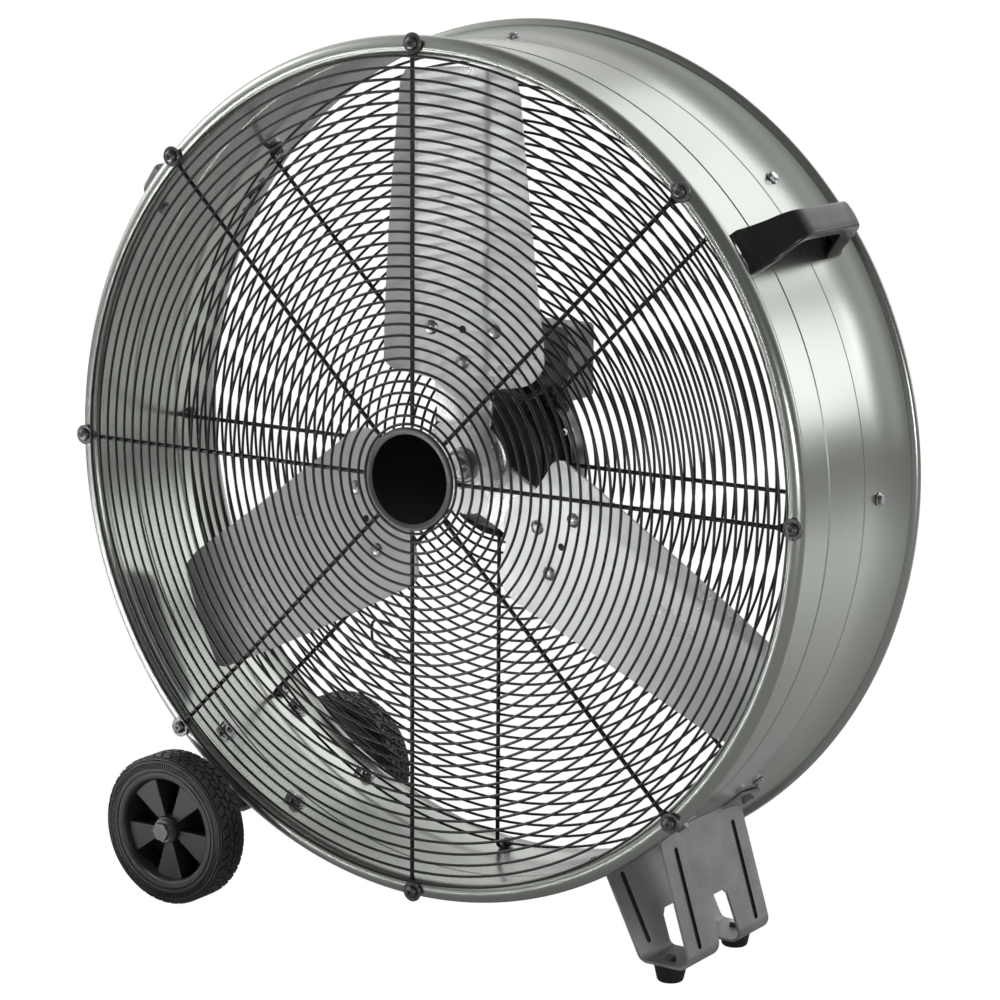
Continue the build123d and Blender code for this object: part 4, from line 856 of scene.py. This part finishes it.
# The hollow section: across its width and through its thickness, from -1 to 1.
HANDLE_SECTION = [(-1.0, -1.0), (-1.0, 0.55), (-0.97, 0.80), (-0.90, 0.94), (-0.78, 1.0), (-0.4, 1.0)]
HANDLE_SECTION += [(0.0, 1.0), (0.4, 1.0), (0.78, 1.0), (0.90, 0.94), (0.97, 0.80), (1.0, 0.55)]
HANDLE_SECTION += [(1.0, -1.0), (0.86, -1.0), (0.80, 0.05), (0.66, 0.25), (-0.66, 0.25)]
HANDLE_SECTION += [(-0.80, 0.05), (-0.86, -1.0)]


def handle_shape(side):
    """The hollow bail and its two feet."""
    rise = radians(HANDLE_TURN)
    out = Vector((cos(rise) * side, 0, sin(rise)))
    across = Vector((-sin(rise) * side, 0, cos(rise)))
    middle = Vector((0, HANDLE_Y, AXIS_H))
    points = []
    faces = []
    for (top_y, top_r), (low_y, low_r), width, bow in HANDLE_LINE:
        top = middle + (Y * top_y + out * top_r) / 1000
        low = middle + (Y * low_y + out * low_r) / 1000
        for c, s in HANDLE_SECTION:
            bowed = Y * bow * (1 - c * c) * (1 + s) / 2000
            points.append(tuple((top + low) / 2 + (top - low) / 2 * s + across * width / 1000 * c + bowed))
    count = len(HANDLE_SECTION)
    last = (len(HANDLE_LINE) - 1) * count
    for k in range(0, last, count):
        for i in range(count):
            j = (i + 1) % count
            faces.append((k + i, k + j, k + count + j, k + count + i))
    faces += [tuple(range(count)), tuple(range(last + count - 1, last - 1, -1))]
    return points, faces


for side, name in ((1, "right"), (-1, "left")):
    grip = solid(f"carry_handle_{name}", handle_shape(side), black_plastic, sharp=38.0)
    settle(grip, "frame", "black_plastic", f"handle_{name}")
dress(dark_chrome, "handle_screws")


# ---- Foot bracket and rubber feet ----
# A channel folded from grey-coated steel sheet, with pressed grooves in both walls
# and an arch between its legs, bolted to the drum by four tabs. A conical rubber
# foot is screwed under each leg.

bracket_grey = painted(
    "bracket_grey", (0.38, 0.383, 0.39), 0.40, metal=0.30,
    spread=0.30, cloud=30.0, grain=1300.0, bump=0.00006, speck=1.1,
)
ARCH_HALF = 0.0165
ARCH_FOOT_Z = 0.045
BETWEEN_WALLS_X = 0.24
OUTER_ARCH_RISE = Vector((-0.318, 0, 1.0)) * 0.013
INNER_ARCH_RISE = Vector((-0.483, 0, 1.0)) * -0.009


def raised_arch(spot):
    """The arch reaches higher in the outer wall than in the inner one."""
    if abs(spot.y) < ARCH_HALF and spot.z > ARCH_FOOT_Z:
        return spot + (OUTER_ARCH_RISE if spot.x > BETWEEN_WALLS_X else INNER_ARCH_RISE)
    return spot


# The grooves are lined with a near-black coat: painted shade, darker than their depth makes them.
groove_painted_shade = painted(
    "groove_painted_shade", (0.018, 0.018, 0.019), 0.5, spread=0.2, cloud=60.0, grain=1300.0, bump=0.00004
)
# The grooves are given in mm: half their width, the ends' half-width and slant.
GROOVE_HALF = 3.2
GROOVE_TIP = 1.3
GROOVE_SLANT = 2.0
GROOVE_Y = 51.0


def groove_bar(top, bottom, outwards, y, depth):
    """A long bar with chamfered ends that sinks a groove into a wall's face."""
    down = (bottom - top).normalized()
    length = (bottom - top).length
    upper = [(0.0, GROOVE_TIP), (GROOVE_SLANT, GROOVE_HALF)]
    upper += [(length - GROOVE_SLANT, GROOVE_HALF), (length, GROOVE_TIP)]
    edge = [(0.0, -GROOVE_TIP)] + upper + [(along, -across) for along, across in upper[:0:-1]]
    points = []
    for lift in (0.5, -depth):
        for along, across in edge:
            points.append(tuple((top + down * along + outwards * lift + Y * (y + across)) / 1000))
    faces = [tuple(range(8)), tuple(range(15, 7, -1))]
    faces += [(i, (i + 1) % 8, 8 + (i + 1) % 8, 8 + i) for i in range(8)]
    return points, faces


# The outer face of the right wall, then the inner face of the left one: the top
# and bottom ends of its grooves, the way it faces, and the grooves' depth.
right_face = (Vector((248.46, 0, 121.22)), Vector((276.17, 0, 31.75)), Vector((0.955, 0, 0.296)), 1.75)
left_face = (Vector((192.91, 0, 88.32)), Vector((223.73, 0, 27.43)), Vector((0.892, 0, 0.452)), 1.0)
bars = []
for top, bottom, facing, depth in (right_face, left_face):
    bars += [groove_bar(top, bottom, facing, y, depth) for y in (-GROOVE_Y, GROOVE_Y)]
groove_cutter = solid("groove_cutter", joined(*bars), bracket_grey)
groove_cutter.data.materials.append(groove_painted_shade)
for side in groove_cutter.data.polygons:
    side.material_index = 1
feet_bracket = softened(
    "feet_bracket", "foot_bracket", bracket_grey, 0.0005, press=raised_arch, cutter=groove_cutter
)
bpy.data.objects.remove(groove_cutter)
settle(feet_bracket, "frame", "bracket_coat", "foot_bracket")
foot_rubber = painted(
    "foot_rubber", (0.018, 0.018, 0.018), 0.55, spread=0.2, cloud=60.0, grain=2000.0, bump=0.00005
)
FOOT_X = 0.2497
FOOT_Y = 0.058
foot_outline = [(0.0, 0.0), (0.0108, 0.0), (0.0117, 0.0008), (0.0122, 0.0022)]
foot_outline += [(0.0150, 0.0148), (0.0155, 0.0154), (0.0155, 0.0160), (0.0, 0.0160)]
upright = Matrix.Rotation(pi / 2, 4, "X")
for y, name in ((-FOOT_Y, "front"), (FOOT_Y, "rear")):
    spot = Matrix.Translation((FOOT_X, y, 0)) @ upright
    foot = solid(f"foot_{name}", moved(lathe(foot_outline, 48), spot), foot_rubber)
    settle(foot, "frame", "foot_rubber", f"rubber_foot_{name}")
dress(dark_chrome, "foot_screws", "bracket_bolts")


# ---- Nuts of the brackets ----
# Each bracket bolt ends inside the drum in a washer and a dark chromed hex nut,
# whose thread end shows.

# The right bracket's bolts: degrees round the drum, and depth. The left ones mirror them.
NUT_PLACES = ((-48.5, -0.057), (-48.7, 0.057), (-63.7, -0.057), (-63.9, 0.057))
nut_washer = [(0.0030, 0.0), (0.0088, 0.0), (0.0088, 0.0010), (0.0084, 0.0013), (0.0030, 0.0013)]
nut_body = [(0.0030, 0.0012), (0.0060, 0.0012), (0.0069, 0.0020), (0.0069, 0.0058)]
nut_body += [(0.0060, 0.0066), (0.0030, 0.0066)]
thread_end = [(0.0, 0.0), (0.0031, 0.0), (0.0031, 0.0085), (0.0026, 0.0090), (0.0, 0.0090)]
inwards = Matrix.Rotation(pi / 2, 4, "Z")
one_nut = joined(lathe(nut_washer, 28), lathe(nut_body, 6), lathe(thread_end, 16))
bracket_nuts = []
for turn, y in NUT_PLACES:
    for angle in (turn, -180.0 - turn):
        place = at_axis() @ Matrix.Rotation(-radians(angle), 4, "Y")
        place @= Matrix.Translation((skin(y) - DRUM_WALL, y, 0)) @ inwards
        bracket_nuts.append(moved(one_nut, place))
nuts = solid("inner_nuts", joined(*bracket_nuts), dark_chrome, 25.0)
settle(nuts, "frame", "zinc", "bracket_nuts")


# ---- Wheel bracket and axle ----
# A short folded channel under the drum's other side, with an ear at each end
# for the fixed steel axle. Tubes on the axle keep the wheels off the ears.

axle_bracket = softened("axle_bracket", "wheel_bracket", bracket_grey, 0.0005)
settle(axle_bracket, "frame", "bracket_coat", "wheel_bracket")


# ---- Wheels ----
# Moulded black wheels: a stepped rim with a recessed face, five wedge spokes
# over dark pockets and a round hub, and a rubber tyre with a lozenge tread and
# a fine ribbed band on its wall. A hex bolt and washer close the axle.

WHEEL_X = -0.257
WHEEL_Z = 0.0726
WHEEL_OUT = 0.1526
WHEEL_W = 0.0345
RIM_SPOKES = 5
WALL_RIBS = 170
LUGS = 44
LUG_REACH = 0.0043
# Rows of the tread: place across it, slant, half-width and turn.
TREAD_ROWS = (
    (0.0064, 0.0016, 0.0040, 0.0),
    (0.0137, -0.0016, 0.0029, 4.1),
    (0.0208, 0.0016, 0.0029, 0.0),
    (0.0281, -0.0016, 0.0040, 4.1),
)
rim_black = painted(
    "rim_black", (0.018, 0.018, 0.0185), 0.38, spread=0.12, cloud=40.0, grain=1500.0, bump=0.00003
)
tyre_black = painted(
    "tyre_black", (0.018, 0.018, 0.018), 0.46, spread=0.15, cloud=50.0, grain=2200.0, bump=0.00005
)
axle_grey = painted(
    "axle_grey", (0.14, 0.14, 0.14), 0.35, metal=0.5, spread=0.1, cloud=90.0, grain=2500.0, bump=0.00002
)


def tyre_shape():
    """The tyre's section, its outer wall at depth 0."""
    wall = [(0.0570, 0.0012), (0.0576, 0.0012), (0.0580, 0.0001), (0.0584, 0.0), (0.0608, 0.0)]
    wall += [(0.0612, 0.0010), (0.0664, 0.0010), (0.0667, 0.0), (0.0681, 0.0), (0.0686, 0.0013)]
    wall += [(0.0691, 0.0013), (0.0695, 0.0002), (0.0702, 0.0003), (0.0708, 0.0012), (0.0711, 0.0028)]
    back = [(r, WHEEL_W - y) for r, y in reversed(wall)]
    return lathe(wall + [(0.0712, 0.0172)] + back, 160)


def rim_shape():
    """The rim's barrel, ring, recessed web and hub."""
    ring = [(0.0572, WHEEL_W), (0.0572, 0.0008), (0.0566, 0.0), (0.0524, 0.0), (0.0516, 0.0004)]
    ring += [(0.0504, 0.0016), (0.0492, 0.0050), (0.0488, 0.0312), (0.0135, 0.0318), (0.0132, 0.0030)]
    ring += [(0.0128, 0.0022), (0.0110, 0.0020), (0.0104, 0.0030), (0.0061, 0.0030), (0.0061, WHEEL_W)]
    ring += [(0.0132, WHEEL_W), (0.0134, 0.0335), (0.0484, 0.0335), (0.0500, WHEEL_W)]
    return lathe(ring, 128)


def wedge(turn):
    """One of the rim's spokes: a wedge that widens outwards, with upright sides."""
    layers = []
    for y, ease in ((0.0070, 0.0005), (0.0075, 0.0), (0.0316, 0.0)):
        layer = []
        for r, spread, ends in ((0.0110, 19.0, 1), (0.0492 - ease, 18.0, 8)):
            for i in range(ends + 1):
                a = radians(spread * (2 * i / ends - 1))
                a *= 1 - ease / (r * radians(spread))
                layer.append((r * cos(a), y, r * sin(a)))
        layers.append([layer[0], layer[1]] + layer[:1:-1])
    count = len(layers[0])
    points = sum(layers, [])
    faces = [tuple(range(count)), tuple(range(3 * count - 1, 2 * count - 1, -1))]
    for k in (0, count):
        for i in range(count):
            j = (i + 1) % count
            faces.append((k + j, k + i, k + count + i, k + count + j))
    return moved((points, faces), Matrix.Rotation(-radians(turn), 4, "Y"))


def lug(across, slant, width, reach):
    """One low block of the tread at +X, its top at the tyre's full radius."""
    points = []
    for r, shrink in ((0.0708, 1.0), (0.0723, 0.90), (0.0726, 0.84)):
        for dy, dz in ((-1, -1), (1, -1), (1, 1), (-1, 1)):
            y = across + dy * width * shrink
            a = (dz * reach * shrink + dy * slant) / r
            points.append((r * cos(a), y, r * sin(a)))
    faces = [(0, 1, 2, 3), (8, 11, 10, 9)]
    for k in (0, 4):
        for i in range(4):
            j = (i + 1) % 4
            faces.append((k + i, k + j, k + 4 + j, k + 4 + i))
    return points, faces


def wheel_parts(name, side):
    """One wheel: side -1 is the front one, whose outer face points to -Y."""
    face = Matrix.Translation((0, side * WHEEL_OUT, 0)) @ Matrix.Diagonal((1, -side, 1, 1))
    hub = at_axis(x=WHEEL_X, z=WHEEL_Z)
    body = f"{name}_wheel"
    tyre = solid(f"{name}_tyre", moved(tyre_shape(), hub @ face), tyre_black)
    settle(tyre, body, "tyre_rubber", f"{name}_wheel_tyre")
    for row, (across, slant, width, first) in enumerate(TREAD_ROWS):
        block = moved(lug(across, slant, width, LUG_REACH), face)
        lugs = ring_of(f"{name}_tread_{row}", block, LUGS, tyre_black, first, WHEEL_X, WHEEL_Z, 20.0)
        settle(lugs, body, "tyre_rubber")
    ends = ((0.0616, -0.0004), (0.0661, -0.0004), (0.0661, 0.0004), (0.0616, 0.0004))
    rib = [(r, 0.0001, z) for r, z in ends] + [(r, 0.0012, z * 1.3) for r, z in ends]
    sides = [(0, 1, 2, 3), (7, 6, 5, 4), (0, 4, 5, 1), (1, 5, 6, 2), (2, 6, 7, 3), (3, 7, 4, 0)]
    one = moved((rib, sides), face)
    ribs = ring_of(f"{name}_wall_ribs", one, WALL_RIBS, tyre_black, 0.0, WHEEL_X, WHEEL_Z, 20.0)
    settle(ribs, body, "tyre_rubber")
    rim = solid(f"{name}_rim", moved(rim_shape(), hub @ face), rim_black)
    settle(rim, body, "black_plastic", f"{name}_wheel_rim")
    spokes = joined(*[wedge(360.0 / RIM_SPOKES * i + 54.0) for i in range(RIM_SPOKES)])
    arms = solid(f"{name}_rim_spokes", moved(spokes, hub @ face), rim_black, 20.0)
    settle(arms, body, "black_plastic")
    head = [(0.0, 0.0024), (0.0085, 0.0024), (0.0092, 0.0018), (0.0092, -0.0048), (0.0080, -0.0056)]
    head += [(0.0, -0.0057)]
    plate = [(0.0062, 0.0017), (0.0110, 0.0017), (0.0110, 0.0005), (0.0106, 0.0002), (0.0062, 0.0002)]
    bolt_shape = joined(lathe(plate, 40), lathe(head, 6))
    bolt_head = solid(f"{name}_axle_bolt", moved(bolt_shape, hub @ face), axle_grey, 25.0)
    settle(bolt_head, "frame", "axle_head")


wheel_parts("front", -1)
wheel_parts("rear", 1)
dress(axle_grey, "axle_bolts")


# ---- Floor, light and camera ----
# A plain white floor and a pale room. A small firm lamp throws the guard's shadow
# on the blades, four broad soft ones stand round the fan, and two light a pool of
# floor each, which the drum's coat mirrors.


def shown_share(group, camera_share, mirror_share):
    """How much of the white a camera ray sees, and how much a mirror or glass ray."""
    rays = node(group, "ShaderNodeLightPath").outputs
    mirrored = sums(group, "MAXIMUM", rays["Is Glossy Ray"], rays["Is Transmission Ray"])
    dimmed = sums(group, "MULTIPLY", mirrored, mirror_share)
    straight = sums(group, "MULTIPLY", rays["Is Camera Ray"], camera_share)
    return sums(group, "MAXIMUM", straight, dimmed)


floor_material = bpy.data.materials.new("floor_white")
floor_material.use_nodes = True
floor_tree = floor_material.node_tree
floor_tree.nodes.remove(floor_tree.nodes["Principled BSDF"])
matt = node(floor_tree, "ShaderNodeBsdfDiffuse", Color=(0.46, 0.46, 0.46, 1))
glow = node(floor_tree, "ShaderNodeEmission", Color=(1, 1, 1, 1), Strength=1.10)
blend = node(floor_tree, "ShaderNodeMixShader", Fac=shown_share(floor_tree, 0.90, 0.09))
floor_tree.links.new(matt.outputs["BSDF"], blend.inputs[1])
floor_tree.links.new(glow.outputs["Emission"], blend.inputs[2])
floor_tree.links.new(blend.outputs["Shader"], floor_tree.nodes["Material Output"].inputs["Surface"])
floor_corners = [(-30, -30, 0), (30, -30, 0), (30, 30, 0), (-30, 30, 0)]
floor = solid("floor", (floor_corners, [(0, 1, 2, 3)]), floor_material)


def lamp(name, towards, distance, size, power, aim=Vector((0, 0, AXIS_H)), spread=180.0):
    """An oblong soft lamp, in a direction from what it is aimed at."""
    light = bpy.data.lights.new(name, "AREA")
    light.shape = "RECTANGLE"
    light.size, light.size_y = size
    light.energy = power
    light.spread = radians(spread)
    thing = bpy.data.objects.new(name, light)
    thing.location = aim + Vector(towards).normalized() * distance
    thing.rotation_euler = (aim - thing.location).to_track_quat("-Z", "Y").to_euler()
    bpy.context.scene.collection.objects.link(thing)


lamp("key", (-0.27, -0.96, -0.02), 4.2, (0.24, 0.24), 3.6)
lamp("behind_above", (0.12, 0.857, 0.50), 4.0, (2.9, 1.1), 12.5)
lamp("behind_right", (0.57, 0.80, 0.20), 4.0, (0.8, 1.2), 6.5)
lamp("left", (-0.95, -0.25, 0.45), 3.6, (1.6, 1.6), 20.0)
lamp("right_low", (0.80, -0.60, 0.06), 3.5, (1.4, 0.7), 20.0)
lamp("floor_pool", (0, 0, 1), 1.3, (1.0, 1.0), 52.0, aim=Vector((-0.98, -0.98, 0)), spread=55.0)
lamp("floor_pool_behind", (0, 0, 1), 1.3, (1.5, 1.5), 11.0, aim=Vector((0.62, 1.45, 0)), spread=70.0)

world = bpy.data.worlds.new("studio")
bpy.context.scene.world = world
world.use_nodes = True
sky_tree = world.node_tree
way = node(sky_tree, "ShaderNodeTexCoord").outputs["Generated"]
part = node(sky_tree, "ShaderNodeSeparateXYZ", Vector=way).outputs
from_behind = node(sky_tree, "ShaderNodeMapRange", Value=part["Y"], From_Min=-1.0)
deep = node(sky_tree, "ShaderNodeValToRGB", Fac=from_behind.outputs["Result"])
deep.color_ramp.interpolation = "EASE"
stops = ((0.0, 0.07), (0.62, 0.08), (0.70, 0.10), (0.775, 0.80), (0.83, 0.22), (0.90, 0.75))
for stop, (place, grey) in enumerate(stops):
    mark = deep.color_ramp.elements[stop] if stop < 2 else deep.color_ramp.elements.new(place)
    mark.position = place
    mark.color = (grey, grey, grey, 1)
to_the_left = sums(sky_tree, "MULTIPLY", part["X"], -1.0)
bright = node(sky_tree, "ShaderNodeMapRange", Value=to_the_left, From_Min=0.25, From_Max=0.95, To_Max=0.85)
bright.interpolation_type = "SMOOTHSTEP"
room = sums(sky_tree, "ADD", deep.outputs["Color"], bright.outputs["Result"])
room.node.use_clamp = True
level = node(sky_tree, "ShaderNodeMix", Factor=shown_share(sky_tree, 1.0, 0.05), A=room, B=1.0)
sky = sky_tree.nodes["Background"]
sky.inputs["Color"].default_value = (1, 1, 1, 1)
sky_tree.links.new(level.outputs["Result"], sky.inputs["Strength"])

CAMERA_AIM = Vector((0.08751, -0.094, 0.42469))
CAMERA_DISTANCE = 2.78235
AZIMUTH = radians(33.771)
ELEVATION = radians(11.264)
ROLL = radians(0.334)
back = Vector((sin(AZIMUTH) * cos(ELEVATION), -cos(AZIMUTH) * cos(ELEVATION), sin(ELEVATION)))
right = Vector((cos(AZIMUTH), sin(AZIMUTH), 0))
up = back.cross(right)
camera_x = right * cos(ROLL) + up * sin(ROLL)
camera_y = up * cos(ROLL) - right * sin(ROLL)
spot = CAMERA_AIM + back * CAMERA_DISTANCE
camera = bpy.data.objects.new("camera", bpy.data.cameras.new("camera"))
camera.data.sensor_width = 36.0
camera.data.lens = 112.865
camera.matrix_world = Matrix.Translation(spot) @ Matrix((camera_x, camera_y, back)).transposed().to_4x4()
bpy.context.scene.collection.objects.link(camera)
bpy.context.scene.camera = camera
bpy.context.scene.view_settings.view_transform = "Standard"
